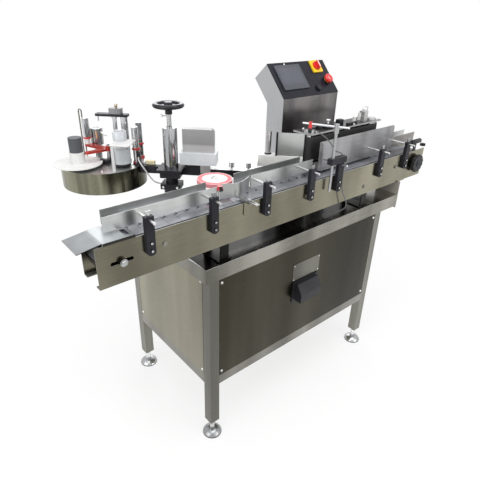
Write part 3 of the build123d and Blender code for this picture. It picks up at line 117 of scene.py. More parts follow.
sensor_route = [(x, y, TABLE + rise) for x, y, rise in (
    (43.5, -181, 334), (54, -181, 334), (74, -204, 318), (90, -226, 298), (102, -240, 274),
    (116, -242, 259), (136, -244, 255), (152, -250, 238), (153, -256, 206), (151, -257, 170),
    (150, -258, 138), (154, -261, 110), (168, -266, 84), (182, -268, 58), (186, -262, 34),
    (178, -247, 20), (160, -230, 14), (138, -218, 12), (118, -213, 11), (118, -213, 0.3))]
sensor_cord = nurbs("sensor_cord", sensor_route, 2.0)
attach(sensor_cord, "machine")
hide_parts("sensor_lead")

head_route = [tuple(v / MM for v in head_point(s, t, DECK + rise)) for s, t, rise in (
    (-117, 19.7, 27), (-117, 9, 27), (-108, 4, 11), (-74, 2, -40), (-58, 0, -54), (-34.4, 0, -56))]
head_line = nurbs("head_line", head_route, 2.5)


# Shader groups that several finishes share
def group(name, inputs, outputs):
    """An empty node group with named sockets, and its input and output nodes."""
    tree = bpy.data.node_groups.new(name, "ShaderNodeTree")
    for label, kind, value in inputs:
        socket = tree.interface.new_socket(label, in_out="INPUT", socket_type=kind)
        socket.default_value = value
    for label, kind in outputs:
        tree.interface.new_socket(label, in_out="OUTPUT", socket_type=kind)
    return tree, tree.nodes.new("NodeGroupInput"), tree.nodes.new("NodeGroupOutput")


def put(tree, kind, **values):
    """A new node with its properties and sockets set; a tuple of a node and its output's name makes a link."""
    node = tree.nodes.new(kind)
    sockets = values.pop("sockets", {})
    for key, value in values.items():
        setattr(node, key, value)
    for key, value in sockets.items():
        target = node.inputs[key]
        if isinstance(value, tuple) and value and isinstance(value[0], bpy.types.Node):
            tree.links.new(value[0].outputs[value[1]], target)
        else:
            target.default_value = value
    return node


def brushed_group():
    """Fine grain stretched along one direction, slow clouds and broad bands, as masks and a normal."""
    tree, give, take = group(
        "brushed grain",
        [("Stretch", "NodeSocketVector", (60.0, 60.0, 2400.0)), ("Bands", "NodeSocketVector", (7.0, 7.0, 0.7)),
         ("Depth", "NodeSocketFloat", 0.3)],
        [("Grain", "NodeSocketFloat"), ("Tone", "NodeSocketFloat"), ("Smudge", "NodeSocketFloat"),
         ("Normal", "NodeSocketVector")],
    )
    place = put(tree, "ShaderNodeTexCoord")
    scaled = put(tree, "ShaderNodeVectorMath", operation="MULTIPLY",
                 sockets={0: (place, "Object"), 1: (give, "Stretch")})
    wide = put(tree, "ShaderNodeVectorMath", operation="MULTIPLY",
               sockets={0: (place, "Object"), 1: (give, "Bands")})
    grain = put(tree, "ShaderNodeTexNoise", sockets={"Vector": (scaled, "Vector"), "Scale": 1.0, "Detail": 3.0})
    bands = put(tree, "ShaderNodeTexNoise", sockets={"Vector": (wide, "Vector"), "Scale": 1.0, "Detail": 2.0})
    smudge = put(tree, "ShaderNodeTexNoise", sockets={"Vector": (place, "Object"), "Scale": 9.0, "Detail": 5.0})
    part = put(tree, "ShaderNodeMath", operation="MULTIPLY_ADD",
               sockets={0: (grain, "Fac"), 1: 0.35, 2: (bands, "Fac")})
    tone = put(tree, "ShaderNodeMath", operation="MULTIPLY", sockets={0: (part, "Value"), 1: 0.741})
    bump = put(tree, "ShaderNodeBump",
               sockets={"Strength": (give, "Depth"), "Distance": 0.0004, "Height": (grain, "Fac")})
    for made, label in ((grain.outputs["Fac"], "Grain"), (tone.outputs[0], "Tone"),
                        (smudge.outputs["Fac"], "Smudge"), (bump.outputs["Normal"], "Normal")):
        tree.links.new(made, take.inputs[label])
    return tree


def speckle_group():
    """Moulded or cast skin: small bumps with a slow change of tone."""
    tree, give, take = group(
        "moulded skin",
        [("Scale", "NodeSocketFloat", 900.0), ("Depth", "NodeSocketFloat", 0.2)],
        [("Tone", "NodeSocketFloat"), ("Spots", "NodeSocketFloat"), ("Normal", "NodeSocketVector")],
    )
    place = put(tree, "ShaderNodeTexCoord")
    spots = put(tree, "ShaderNodeTexNoise",
                sockets={"Vector": (place, "Object"), "Scale": (give, "Scale"), "Detail": 2.0})
    tone = put(tree, "ShaderNodeTexNoise", sockets={"Vector": (place, "Object"), "Scale": 14.0, "Detail": 5.0})
    bump = put(tree, "ShaderNodeBump",
               sockets={"Strength": (give, "Depth"), "Distance": 0.0003, "Height": (spots, "Fac")})
    tree.links.new(tone.outputs["Fac"], take.inputs["Tone"])
    tree.links.new(spots.outputs["Fac"], take.inputs["Spots"])
    tree.links.new(bump.outputs["Normal"], take.inputs["Normal"])
    return tree


BRUSHED = brushed_group()
SKIN = speckle_group()


def ramp(tree, source, stops):
    """A colour ramp over a mask; stops are (place, colour)."""
    node = tree.nodes.new("ShaderNodeValToRGB")
    tree.links.new(source, node.inputs["Fac"])
    for i, (place, colour) in enumerate(stops):
        stop = node.color_ramp.elements[i] if i < 2 else node.color_ramp.elements.new(place)
        stop.position = place
        stop.color = (*colour, 1.0)
    return node.outputs["Color"]


def spread(tree, source, low, high):
    """A mask's middle range carried to low and high."""
    node = put(tree, "ShaderNodeMapRange", sockets={"From Min": 0.3, "From Max": 0.7, "To Min": low, "To Max": high})
    tree.links.new(source, node.inputs["Value"])
    return node.outputs["Result"]


def new_material(name):
    """A material with its node tree and its shader."""
    material = bpy.data.materials.new(name)
    material.use_nodes = True
    return material, material.node_tree, material.node_tree.nodes["Principled BSDF"]


def steel(name, dark, light, rough, stretch, depth=0.25, bands=(7.0, 7.0, 0.7)):
    """Brushed or polished metal: tone follows the bands and the grain, roughness the grain and smudges."""
    material, tree, shader = new_material(name)
    grain = put(tree, "ShaderNodeGroup", node_tree=BRUSHED,
                sockets={"Stretch": stretch, "Bands": bands, "Depth": depth})
    tree.links.new(ramp(tree, grain.outputs["Tone"], [(0.36, dark), (0.64, light)]), shader.inputs["Base Color"])
    mixed = put(tree, "ShaderNodeMath", operation="MULTIPLY_ADD",
                sockets={0: (grain, "Grain"), 1: 0.5, 2: (grain, "Smudge")})
    halved = put(tree, "ShaderNodeMath", operation="MULTIPLY", sockets={0: (mixed, "Value"), 1: 0.667})
    tree.links.new(spread(tree, halved.outputs[0], rough[0], rough[1]), shader.inputs["Roughness"])
    tree.links.new(grain.outputs["Normal"], shader.inputs["Normal"])
    shader.inputs["Metallic"].default_value = 1.0
    return material


def mix_colours(tree, way, first, second):
    """Two colours joined in full by a blend, such as MULTIPLY or LIGHTEN."""
    node = put(tree, "ShaderNodeMix", data_type="RGBA", blend_type=way, sockets={0: 1.0})
    tree.links.new(first, node.inputs[6])
    tree.links.new(second, node.inputs[7])
    return node.outputs[2]


def shade_along(material, *runs):
    """Shades a finish along axes of the object; where several runs meet, the lightest counts.

    A run is an axis and its stops: (metres along the axis, share of the colour that is left).
    """
    tree = material.node_tree
    shader = tree.nodes["Principled BSDF"]
    source = shader.inputs["Base Color"].links[0].from_socket
    place = put(tree, "ShaderNodeTexCoord")
    parts = put(tree, "ShaderNodeSeparateXYZ", sockets={0: (place, "Object")})
    share = None
    for axis, stops in runs:
        start, end = stops[0][0], stops[-1][0]
        along = put(tree, "ShaderNodeMapRange",
                    sockets={"Value": (parts, axis), "From Min": start, "From Max": end})
        tone = ramp(tree, along.outputs["Result"],
                    [((at - start) / (end - start), (left,) * 3) for at, left in stops])
        share = mix_colours(tree, "LIGHTEN", share, tone) if share else tone
    tree.links.new(mix_colours(tree, "MULTIPLY", source, share), shader.inputs["Base Color"])


def plastic(name, dark, light, rough, scale=900.0, depth=0.15, metallic=0.0, coat=0.0, specular=0.5):
    """Moulded plastic, rubber, paint or anodising: a slow change of tone over a fine skin."""
    material, tree, shader = new_material(name)
    skin = put(tree, "ShaderNodeGroup", node_tree=SKIN, sockets={"Scale": scale, "Depth": depth})
    tree.links.new(ramp(tree, skin.outputs["Tone"], [(0.3, dark), (0.7, light)]), shader.inputs["Base Color"])
    tree.links.new(spread(tree, skin.outputs["Spots"], rough[0], rough[1]), shader.inputs["Roughness"])
    tree.links.new(skin.outputs["Normal"], shader.inputs["Normal"])
    shader.inputs["Metallic"].default_value = metallic
    shader.inputs["Coat Weight"].default_value = coat
    shader.inputs["Specular IOR Level"].default_value = specular
    return material


# Directions of the grain, and the bands of the guide rails' sheet
ALONG_X = (14.0, 900.0, 900.0)
ALONG_Y = (900.0, 14.0, 900.0)
ALONG_Z = (900.0, 900.0, 14.0)
TURNED = (600.0, 600.0, 600.0)
RAIL_BANDS = (9.0, 9.0, 0.6)

# Metals of the cabinet and the conveyor
sheet_steel = steel("panel sheet steel", (0.195, 0.184, 0.138), (0.332, 0.314, 0.238), (0.2, 0.34), ALONG_X)
front_strip = steel("front edge steel", (0.12, 0.117, 0.098), (0.37, 0.362, 0.32), (0.2, 0.32), ALONG_X,
                    depth=0.2, bands=(6.0, 6.0, 1.0))
# Painted shade: the front door's sheet is a darker copy of the panel sheet steel, and darker again towards its right
# end
front_steel_painted_shade = steel("front door sheet steel with painted shade", (0.052, 0.048, 0.032), (0.092, 0.087, 0.062), (0.2, 0.32), ALONG_X)
shade_along(front_steel_painted_shade, (0, ((-0.42, 0.85), (0.0, 0.8), (0.25, 0.4), (0.36, 0.34), (0.42, 0.6))))
upright_steel = steel("upright tube steel", (0.13, 0.127, 0.11), (0.27, 0.265, 0.235), (0.22, 0.36), ALONG_Z)
cross_steel = steel("cross tube steel", (0.17, 0.165, 0.145), (0.32, 0.31, 0.28), (0.24, 0.38), ALONG_Y)
# Painted shadow on the table top: a dark band under the conveyor behind a lighter front band, and painted light towards
# its right end
top_steel_painted_shadow_light = steel("table top steel with painted shadow and light", (0.13, 0.128, 0.115), (0.26, 0.255, 0.235), (0.14, 0.26), ALONG_X,
                  depth=0.15)
shade_along(top_steel_painted_shadow_light, (1, ((-0.262, 1.1), (-0.24, 0.5), (-0.205, 0.08), (-0.16, 0.03), (-0.05, 0.04), (0.03, 1.0))),
            (0, ((0.38, 0.0), (0.46, 3.0))))
# Painted light: the conveyor's side plates grow lighter towards the outfeed end
side_steel_painted_light = steel("conveyor side steel with painted light", (0.145, 0.135, 0.1), (0.28, 0.262, 0.198), (0.16, 0.3), ALONG_X,
                   depth=0.15, bands=(5.0, 5.0, 1.5))
shade_along(side_steel_painted_light, (0, ((-0.7, 0.95), (0.0, 1.0), (0.35, 1.3), (0.73, 1.6))))
rail_steel = steel("guide rail steel", (0.4, 0.41, 0.4), (0.62, 0.63, 0.62), (0.26, 0.4), ALONG_X,
                   depth=0.12, bands=RAIL_BANDS)
exit_steel = steel("outfeed rail steel", (0.2, 0.185, 0.178), (0.38, 0.36, 0.35), (0.26, 0.4), ALONG_X,
                   depth=0.12, bands=RAIL_BANDS)
# Painted highlight: a bright band across the dead plate near its infeed end
dead_steel_painted_highlight = steel("dead plate steel with painted highlight", (0.29, 0.305, 0.315), (0.45, 0.47, 0.485), (0.26, 0.4), ALONG_X,
                   depth=0.12, bands=RAIL_BANDS)
shade_along(dead_steel_painted_highlight, (0, ((-0.822, 0.95), (-0.768, 1.0), (-0.75, 1.5), (-0.735, 1.45), (-0.72, 1.0),
                             (-0.669, 0.85))))
press_steel = steel("tall plate steel", (0.2, 0.2, 0.205), (0.46, 0.46, 0.47), (0.28, 0.4), ALONG_X,
                    depth=0.08, bands=(11.0, 11.0, 0.5))
pale_steel = steel("pale matt steel", (0.44, 0.445, 0.44), (0.6, 0.605, 0.6), (0.4, 0.55), ALONG_Z, depth=0.15)
plate_steel = steel("dull plate steel", (0.12, 0.117, 0.1), (0.22, 0.215, 0.19), (0.3, 0.45), ALONG_X)
top_plate = steel("cover plate steel", (0.03, 0.03, 0.032), (0.14, 0.137, 0.14), (0.25, 0.38), ALONG_X,
                  depth=0.12, bands=(9.0, 9.0, 1.0))
# Painted shadow: near-black steel for the conveyor's stands and shaft bearings and the dead plate's front faces
shadow_steel = steel("shaded stand steel", (0.014, 0.014, 0.013), (0.045, 0.044, 0.04), (0.3, 0.45), ALONG_Z)
# Painted shade on the slats: almost black where the chain turns under the dead plate, and darker towards the outfeed
# end
chain_steel_shaded_ends = steel("worn slat steel with painted shade", (0.31, 0.315, 0.35), (0.52, 0.525, 0.57), (0.3, 0.46), ALONG_X,
                    depth=0.2, bands=(16.0, 40.0, 4.0))
shade_along(chain_steel_shaded_ends, (0, ((-0.73, 0.1), (-0.695, 1.0), (0.3, 0.95), (0.5, 0.6), (0.72, 0.5))))

# Turned, drawn and cast metals
bright_steel = steel("turned bright steel", (0.55, 0.55, 0.55), (0.85, 0.85, 0.85), (0.2, 0.34), TURNED, depth=0.1)
rod_steel = steel("ground rod steel", (0.26, 0.265, 0.27), (0.52, 0.525, 0.53), (0.2, 0.34), TURNED, depth=0.1)
brass = steel("dull brass", (0.3, 0.24, 0.17), (0.5, 0.42, 0.33), (0.16, 0.28), TURNED, depth=0.1)
block_alloy = steel("grey block alloy", (0.11, 0.11, 0.116), (0.2, 0.2, 0.21), (0.34, 0.48), ALONG_Z, depth=0.15)
chrome = steel("chromed steel", (0.36, 0.37, 0.38), (0.74, 0.75, 0.76), (0.05, 0.14), TURNED,
               depth=0.04, bands=(26.0, 26.0, 1.0))

# Housings of the label head and the console
drum_steel = steel("dark drum steel", (0.03, 0.03, 0.022), (0.36, 0.355, 0.26), (0.16, 0.28), ALONG_X,
                   depth=0.08, bands=(17.0, 17.0, 0.8))
console_steel = steel("console side steel", (0.4, 0.41, 0.42), (0.56, 0.565, 0.57), (0.22, 0.34), ALONG_Z,
                      depth=0.2, bands=(2.5, 2.5, 1.5))
# Painted shade: the console's front-facing sheet is a darker copy of its side steel
console_front_painted_shade = steel("console front steel with painted shade", (0.085, 0.083, 0.086), (0.24, 0.225, 0.225), (0.2, 0.32), ALONG_Z,
                      depth=0.2, bands=(9.0, 9.0, 0.5))
coder_steel = steel("coder housing steel", (0.4, 0.4, 0.405), (0.52, 0.52, 0.525), (0.34, 0.46), ALONG_X,
                    depth=0.12, bands=(3.0, 3.0, 3.0))
shade_along(coder_steel, (2, ((1.0, 1.0), (1.022, 1.0), (1.03, 0.62), (1.08, 0.68))))

# Anodised alloys, plastics, rubber and paints
black_alloy = plastic("black anodised alloy", (0.008, 0.008, 0.011), (0.02, 0.02, 0.026), (0.34, 0.5),
                      scale=1800.0, depth=0.1, specular=0.22)
red_alloy = plastic("red anodised alloy", (0.3, 0.02, 0.015), (0.5, 0.05, 0.035), (0.25, 0.4),
                    scale=1800.0, depth=0.1, metallic=0.5)
black_plastic = plastic("black plastic", (0.009, 0.009, 0.011), (0.022, 0.022, 0.025), (0.34, 0.5), specular=0.3)
black_gloss = plastic("black glossy plastic", (0.01, 0.01, 0.013), (0.024, 0.024, 0.028), (0.14, 0.24),
                      depth=0.04, specular=0.2)
black_rubber = plastic("black rubber", (0.01, 0.01, 0.01), (0.025, 0.025, 0.024), (0.55, 0.75),
                       scale=1200.0, depth=0.3)
white_plastic = plastic("white plastic", (0.72, 0.72, 0.7), (0.84, 0.84, 0.82), (0.3, 0.45),
                        scale=1200.0, depth=0.08)
reel_white = plastic("white reel board", (0.6, 0.6, 0.59), (0.7, 0.7, 0.69), (0.4, 0.55), scale=1200.0, depth=0.05)
pale_plastic = plastic("pale grey plastic", (0.5, 0.53, 0.55), (0.6, 0.63, 0.65), (0.3, 0.45),
                       scale=1200.0, depth=0.08)
clear_cup = plastic("milky cup plastic", (0.45, 0.47, 0.5), (0.7, 0.72, 0.75), (0.12, 0.2), depth=0.04)
pink_foam = plastic("pink soft rim", (0.62, 0.16, 0.18), (0.78, 0.27, 0.29), (0.6, 0.8), scale=2200.0, depth=0.4)
red_plastic = plastic("red plastic", (0.5, 0.012, 0.012), (0.68, 0.03, 0.025), (0.2, 0.32), depth=0.05, coat=0.3)
yellow_plastic = plastic("yellow plastic", (0.75, 0.48, 0.01), (0.88, 0.6, 0.03), (0.28, 0.4), depth=0.06)
grey_plastic = plastic("dark grey plastic", (0.012, 0.014, 0.017), (0.028, 0.03, 0.034), (0.4, 0.55),
                       scale=1500.0, depth=0.12, specular=0.25)
sleeve_grey = plastic("grey reel sleeve", (0.05, 0.053, 0.06), (0.08, 0.084, 0.094), (0.4, 0.55),
                      scale=1500.0, depth=0.12, specular=0.3)
# Painted highlight: a light ring on the handwheel's black rim
wheel_ring_highlight = plastic("grey lilac painted highlight ring", (0.12, 0.115, 0.135), (0.18, 0.172, 0.2), (0.2, 0.3),
                     scale=1500.0, depth=0.05, specular=0.2)
panel_black = plastic("black console face", (0.007, 0.007, 0.011), (0.016, 0.017, 0.026), (0.22, 0.34),
                      scale=1500.0, depth=0.05, specular=0.2)
screen_grey = plastic("screen frame", (0.045, 0.05, 0.06), (0.065, 0.072, 0.085), (0.3, 0.42),
                      scale=1500.0, depth=0.08)
screen_glass = plastic("screen glass", (0.07, 0.074, 0.09), (0.095, 0.1, 0.122), (0.14, 0.22),
                       scale=1500.0, depth=0.02, coat=0.05, specular=0.3)
grey_cable = plastic("grey cable jacket", (0.08, 0.08, 0.085), (0.15, 0.15, 0.155), (0.4, 0.55), scale=1500.0)
pale_cable = plastic("pale cable jacket", (0.42, 0.42, 0.42), (0.55, 0.55, 0.55), (0.4, 0.55), scale=1500.0)
grey_paint = plastic("grey machine paint", (0.2, 0.21, 0.22), (0.3, 0.31, 0.32), (0.35, 0.5),
                     scale=700.0, depth=0.25)
matt_plate = plastic("matt end plate", (0.27, 0.255, 0.225), (0.36, 0.345, 0.31), (0.4, 0.55),
                     scale=700.0, depth=0.1)
cream_paint = plastic("cream paint", (0.72, 0.62, 0.38), (0.84, 0.76, 0.52), (0.35, 0.5))
amber_tape = plastic("pale amber tape", (0.8, 0.42, 0.18), (0.9, 0.55, 0.3), (0.3, 0.45))

# Some finishes here carry painted light and shade: the front door, table top, conveyor sides, dead plate, slat chain,
# stands and shaft bearings
finish = {
    "corner_legs": upright_steel, "frame_rails": cross_steel, "table_top": top_steel_painted_shadow_light, "front_panel": front_steel_painted_shade,
    "cabinet_panels": sheet_steel, "panel_screws": bright_steel, "pull_handle": black_plastic,
    "badge_plate": plate_steel, "levelling_feet": rod_steel, "electrics_plate": grey_paint,
    "side_plates": side_steel_painted_light, "shaft_bearings": shadow_steel, "cross_spacers": bright_steel,
    "wear_strips": black_plastic, "slat_chain": chain_steel_shaded_ends, "dead_plate": dead_steel_painted_highlight,
    "conveyor_stands": shadow_steel, "motors": grey_paint, "guide_posts": black_alloy,
    "post_screws": rod_steel, "rear_rails": rail_steel, "wrap_frame": pale_steel, "wrap_belt": black_rubber,
    "console_shell": console_steel, "console_face": panel_black, "touch_screen": screen_grey,
    "switch_plate": yellow_plastic, "lift_base": black_alloy, "bottle_sensor": rail_steel,
    "sensor_stand": rod_steel, "sensor_lead": grey_cable, "drive_shaft": bright_steel,
    "hand_knob": black_plastic, "idler_shaft": rod_steel, "infeed_rail": rail_steel,
    "curved_guide": rail_steel, "mid_rail": rail_steel, "pressure_plate": press_steel,
    "outfeed_rail": exit_steel, "divider_wheel": white_plastic, "wrap_drive_roller": bright_steel,
    "wrap_idler_roller": bright_steel, "carriage": chrome, "head_beam": black_alloy, "head_drum": drum_steel,
    "head_fittings": chrome, "handwheel": chrome, "label_reel": reel_white,
    "drive_roller": white_plastic, "dancer_arm": red_alloy, "dancer_roller": chrome,
    "guide_roller_near": chrome, "guide_roller_far": chrome, "peel_unit": rail_steel, "peel_roller": chrome,
    "coder_box": coder_steel, "head_lead": grey_cable, "switch_knob": red_plastic, "stop_button": red_plastic,
    "start_button": black_plastic,
}
sensor_cord.data.materials.append(grey_cable)
for name, material in finish.items():
    mesh = nodes[name].data
    mesh.materials.clear()
    mesh.materials.append(material)


def face_middles(node):
    """The middle of each face of a node, in millimetres, and the faces' directions."""
    mesh = nodes[node].data
    count = len(mesh.polygons)
    middles = np.empty(count * 3)
    ways = np.empty(count * 3)
    mesh.polygons.foreach_get("center", middles)
    mesh.polygons.foreach_get("normal", ways)
    return middles.reshape(-1, 3) / MM, ways.reshape(-1, 3)


def paint(node, base, *parts):
    """A node in several finishes: each part is a material and a test of the faces' middles and directions."""
    mesh = nodes[node].data
    mesh.materials.clear()
    mesh.materials.append(base)
    middles, ways = face_middles(node)
    slots = np.zeros(len(middles), np.int32)
    for material, test in parts:
        if material.name not in mesh.materials:
            mesh.materials.append(material)
        slots[test(middles, ways)] = mesh.materials.find(material.name)
    mesh.polygons.foreach_set("material_index", slots)


def head_axes(points):
    """Points in the head's own s, t and z."""
    c, n = math.cos(HEAD_TURN), math.sin(HEAD_TURN)
    x, y = points[:, 0] - HEAD_PLACE[0] / MM, points[:, 1] - HEAD_PLACE[1] / MM
    return x * c + y * n, y * c - x * n, points[:, 2]


def off_axis(points, x, y):
    """How far points are from an upright line."""
    return np.hypot(points[:, 0] - x, points[:, 1] - y)


def between(values, low, high):
    """Which values lie between two limits."""
    return (values > low) & (values < high)


def looks(ways, axis, sign=1):
    """Which faces look along an axis, give or take 26 degrees."""
    return sign * ways[:, axis] > 0.9


# Nodes that show more than one finish, some of them painted highlight or shade: p holds the faces' middles and w the
# ways that they look
paint("carriage", chrome, (black_alloy, lambda p, w: p[:, 2] < 951.5))
paint("head_beam", black_alloy,
      (rail_steel, lambda p, w: looks(w, 2) & (p[:, 2] < 946) & (head_axes(p)[0] > 60)),
      (bright_steel, lambda p, w: p[:, 2] > 946))
paint("head_drum", drum_steel,
      (rail_steel, lambda p, w: looks(w, 2) & between(p[:, 2], 944, 946)),
      (chrome, lambda p, w: p[:, 2] > 946))
paint("label_reel", reel_white, (sleeve_grey, lambda p, w: p[:, 2] > 994))
paint("drive_roller", pale_plastic,
      (black_plastic, lambda p, w: p[:, 2] < 955.1),
      (bright_steel, lambda p, w: p[:, 2] > 1005.2))
for roller in ("guide_roller_near", "guide_roller_far"):
    paint(roller, chrome,
          (red_plastic, lambda p, w: (p[:, 2] < 951.4)
           | (between(p[:, 2], 992.9, 999.1) & (off_axis(p, *p[:, :2].mean(0)) > 11.5))))
paint("dancer_roller", chrome,
      (white_plastic, lambda p, w: p[:, 2] < 1013.9),
      (red_plastic, lambda p, w: between(p[:, 2], 1013.9, 1019.1)))
paint("peel_roller", bright_steel, (black_plastic, lambda p, w: p[:, 2] < 966.1))
paint("coder_box", coder_steel,
      (pale_plastic, lambda p, w: between(p[:, 2], 962, 1001.1)),
      (black_alloy, lambda p, w: (p[:, 2] < 962.1) & (head_axes(p)[1] > 13.9)))
paint("peel_unit", rail_steel,
      (black_alloy, lambda p, w: p[:, 2] < 940.1),
      (white_plastic, lambda p, w: (p[:, 2] < 960.2) & (head_axes(p)[1] > 41)),
      (black_alloy, lambda p, w: (p[:, 2] > 960.2) & between(head_axes(p)[0], 346, 354.1)))
paint("divider_wheel", white_plastic,
      (pink_foam, lambda p, w: (p[:, 2] > 945) & (off_axis(p, *DIVIDER) > 41)),
      (bright_steel, lambda p, w: (p[:, 2] < 945) | (p[:, 2] > 958.1)))
# Handwheel: glossy black, steel below, and a painted highlight ring on the rim's top
paint("handwheel", black_gloss,
      (rod_steel, lambda p, w: p[:, 2] < 1127.5),
      (wheel_ring_highlight, lambda p, w: (p[:, 2] > 1160.5) & between(off_axis(p, *LIFT), 37, 45)))
paint("wrap_frame", pale_steel,
      (bright_steel, lambda p, w: p[:, 2] < 925),
      (top_plate, lambda p, w: looks(w, 2) & between(p[:, 2], 1039, 1041)))
# Tall plate: rubber at the rear, and a painted highlight in bright steel on its faces in front of y = -201.6 mm
paint("pressure_plate", press_steel,
      (black_rubber, lambda p, w: p[:, 1] > -185.9),
      (bright_steel, lambda p, w: p[:, 1] < -201.6))
# Stands: painted shadow, near-black, except the end plate past x = 480 mm in matt plate
paint("conveyor_stands", shadow_steel, (matt_plate, lambda p, w: p[:, 0] > 480))
paint("post_screws", rod_steel,
      (black_alloy, lambda p, w: (p[:, 2] < 895) & (p[:, 1] < -261.9)),
      (side_steel_painted_light, lambda p, w: (np.abs(p[:, 0] + 300) < 11) & (p[:, 2] < 921) & (p[:, 1] > -252)))
# Front door: painted shade on its front face, and a painted highlight in pale steel on every face that does not face
# the front, its edges among them
paint("front_panel", front_steel_painted_shade, (pale_steel, lambda p, w: w[:, 1] > -0.5))
# Dead plate: painted highlight across it, and painted shadow on its front-facing faces
paint("dead_plate", dead_steel_painted_highlight, (shadow_steel, lambda p, w: looks(w, 1, -1)))
# Side plates: painted highlight in pale steel on their upward faces, for the bright top edge
paint("side_plates", side_steel_painted_light, (pale_steel, lambda p, w: looks(w, 2)))
# Table top: painted shadow and light on its upward faces; the faces that don't face up in the front edge steel
paint("table_top", top_steel_painted_shadow_light, (front_strip, lambda p, w: w[:, 2] < 0.5))
# Rails: painted highlight in bright steel on their faces in front of y = -202 mm
for rail, base in (("infeed_rail", rail_steel), ("mid_rail", rail_steel), ("outfeed_rail", exit_steel)):
    paint(rail, base, (bright_steel, lambda p, w: p[:, 1] < -202))
paint("bottle_sensor", rail_steel,
      (red_plastic, lambda p, w: p[:, 2] > 981),
      (black_plastic, lambda p, w: between(p[:, 2], 972, 990) & (p[:, 0] > -411.4) & (w[:, 2] < 0.5)))
paint("sensor_stand", rod_steel,
      (black_alloy, lambda p, w: between(p[:, 2], 963.9, 985.1) & (off_axis(p, *STAND) > 5.5)),
      (red_plastic, lambda p, w: (off_axis(p, *SENSOR) < 6.2) & (p[:, 2] > 1061)))
# Console: painted shade, the darker steel, on its front-facing faces
paint("console_shell", console_steel, (console_front_painted_shade, lambda p, w: looks(w, 1, -1)))


# Surfaces: each shape is an array of points with an array of four-cornered faces
def grid_faces(rows, columns):
    """Faces between neighbouring rows and columns of a grid; the last column meets the first."""
    i, j = np.meshgrid(np.arange(rows - 1), np.arange(columns), indexing="ij")
    k = (j + 1) % columns
    low, high = i * columns, (i + 1) * columns
    return np.stack([low + j, low + k, high + k, high + j], -1).reshape(-1, 4)


def turned(profile, steps=28):
    """A profile of (radius, height) round Z: x is radius times cosine, y is radius times sine, z is height."""
    radius, height = np.array(profile, float).T
    angle = np.arange(steps) * 2 * np.pi / steps
    points = np.stack([
        np.outer(radius, np.cos(angle)), np.outer(radius, np.sin(angle)), np.repeat(height[:, None], steps, 1)], -1)
    return points.reshape(-1, 3), grid_faces(len(radius), steps)


def outline(width, depth, corner):
    """A rectangle with round corners, anticlockwise: each corner's centre plus a quarter circle."""
    angle = np.linspace(0, np.pi / 2, 5)[None, :] + np.arange(4)[:, None] * np.pi / 2
    centre_x = np.array([1, -1, -1, 1])[:, None] * (width / 2 - corner)
    centre_y = np.array([1, 1, -1, -1])[:, None] * (depth / 2 - corner)
    return np.stack([centre_x + corner * np.cos(angle), centre_y + corner * np.sin(angle)], -1).reshape(-1, 2)


def raised(edge, levels):
    """An outline carried up through levels of (height, scale), each ring the outline times its scale."""
    heights, scales = np.array(levels, float).T
    rings = edge[None, :, :] * scales[:, None, None]
    points = np.concatenate([rings, np.repeat(heights[:, None, None], len(edge), 1)], -1)
    return points.reshape(-1, 3), grid_faces(len(levels), len(edge))


def carried(path, radius, steps=10):
    """A circle carried along a path: each ring stands square to the path's own direction there."""
    path = np.array(path, float)
    ahead = np.gradient(path, axis=0)
    ahead /= np.linalg.norm(ahead, axis=1, keepdims=True)
    other = np.where(np.abs(ahead[:, 2:]) > 0.9, [[1.0, 0, 0]], [[0, 0, 1.0]])
    side = np.cross(ahead, other)
    side /= np.linalg.norm(side, axis=1, keepdims=True)
    over = np.cross(side, ahead)
    angle = np.arange(steps) * 2 * np.pi / steps
    ring = side[:, None] * np.cos(angle)[None, :, None] + over[:, None] * np.sin(angle)[None, :, None]
    points = (path[:, None] + ring * radius).reshape(-1, 3)
    return points, grid_faces(len(path), steps)[:, ::-1]


def stood(shape, place, up=(0, 0, 1), spin=0.0):
    """A shape turned about its own Z by spin, its Z laid along up, and moved to place."""
    points, faces = shape
    z = np.array(up, float)
    z /= np.linalg.norm(z)
    x = np.cross((0, 1, 0) if abs(z[1]) < 0.9 else (0, 0, 1), z)
    x /= np.linalg.norm(x)
    y = np.cross(z, x)
    c, s = math.cos(spin), math.sin(spin)
    turn = np.stack([c * x + s * y, -s * x + c * y, z])
    return points @ turn + np.array(place, float), faces


def together(shapes):
    """Several shapes as one: points one after the other, faces counted on."""
    starts = np.cumsum([0] + [len(points) for points, _ in shapes[:-1]])
    return (np.concatenate([points for points, _ in shapes]),
            np.concatenate([faces + start for (_, faces), start in zip(shapes, starts)]))


SMOOTH_BELOW = math.radians(35.0)


def piece(name, shapes, body, material):
    """Puts shapes, in millimetres, into one object that rides on a body; doubled points are merged."""
    points, faces = together(shapes)
    mesh = bpy.data.meshes.new(name)
    mesh.from_pydata((points * MM).tolist(), [], faces.tolist())
    work = bmesh.new()
    work.from_mesh(mesh)
    bmesh.ops.remove_doubles(work, verts=work.verts, dist=1e-6)
    bmesh.ops.dissolve_degenerate(work, edges=work.edges, dist=1e-7)
    work.to_mesh(mesh)
    work.free()
    mesh.materials.append(material)
    mesh.shade_smooth()
    mesh.set_sharp_from_angle(angle=SMOOTH_BELOW)
    made = bpy.data.objects.new(name, mesh)
    bpy.context.scene.collection.objects.link(made)
    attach(made, body)
    return made


def slab(wide, deep, high, corner=1.0, edge=0.6):
    """A flat block: round-cornered outlines drawn in by the edge's width at bottom and top, closed at a point."""
    rings = [outline(wide - 2 * d, deep - 2 * d, max(corner - d, 0.05)) for d in (edge, 0, 0, edge)]
    rings = [rings[0] * 0] + rings + [rings[3] * 0]
    heights = np.array([0, 0, edge, high - edge, high, high], float)
    points = np.concatenate([np.array(rings), np.repeat(heights[:, None, None], len(rings[0]), 1)], -1)
    return points.reshape(-1, 3), grid_faces(len(rings), len(rings[0]))


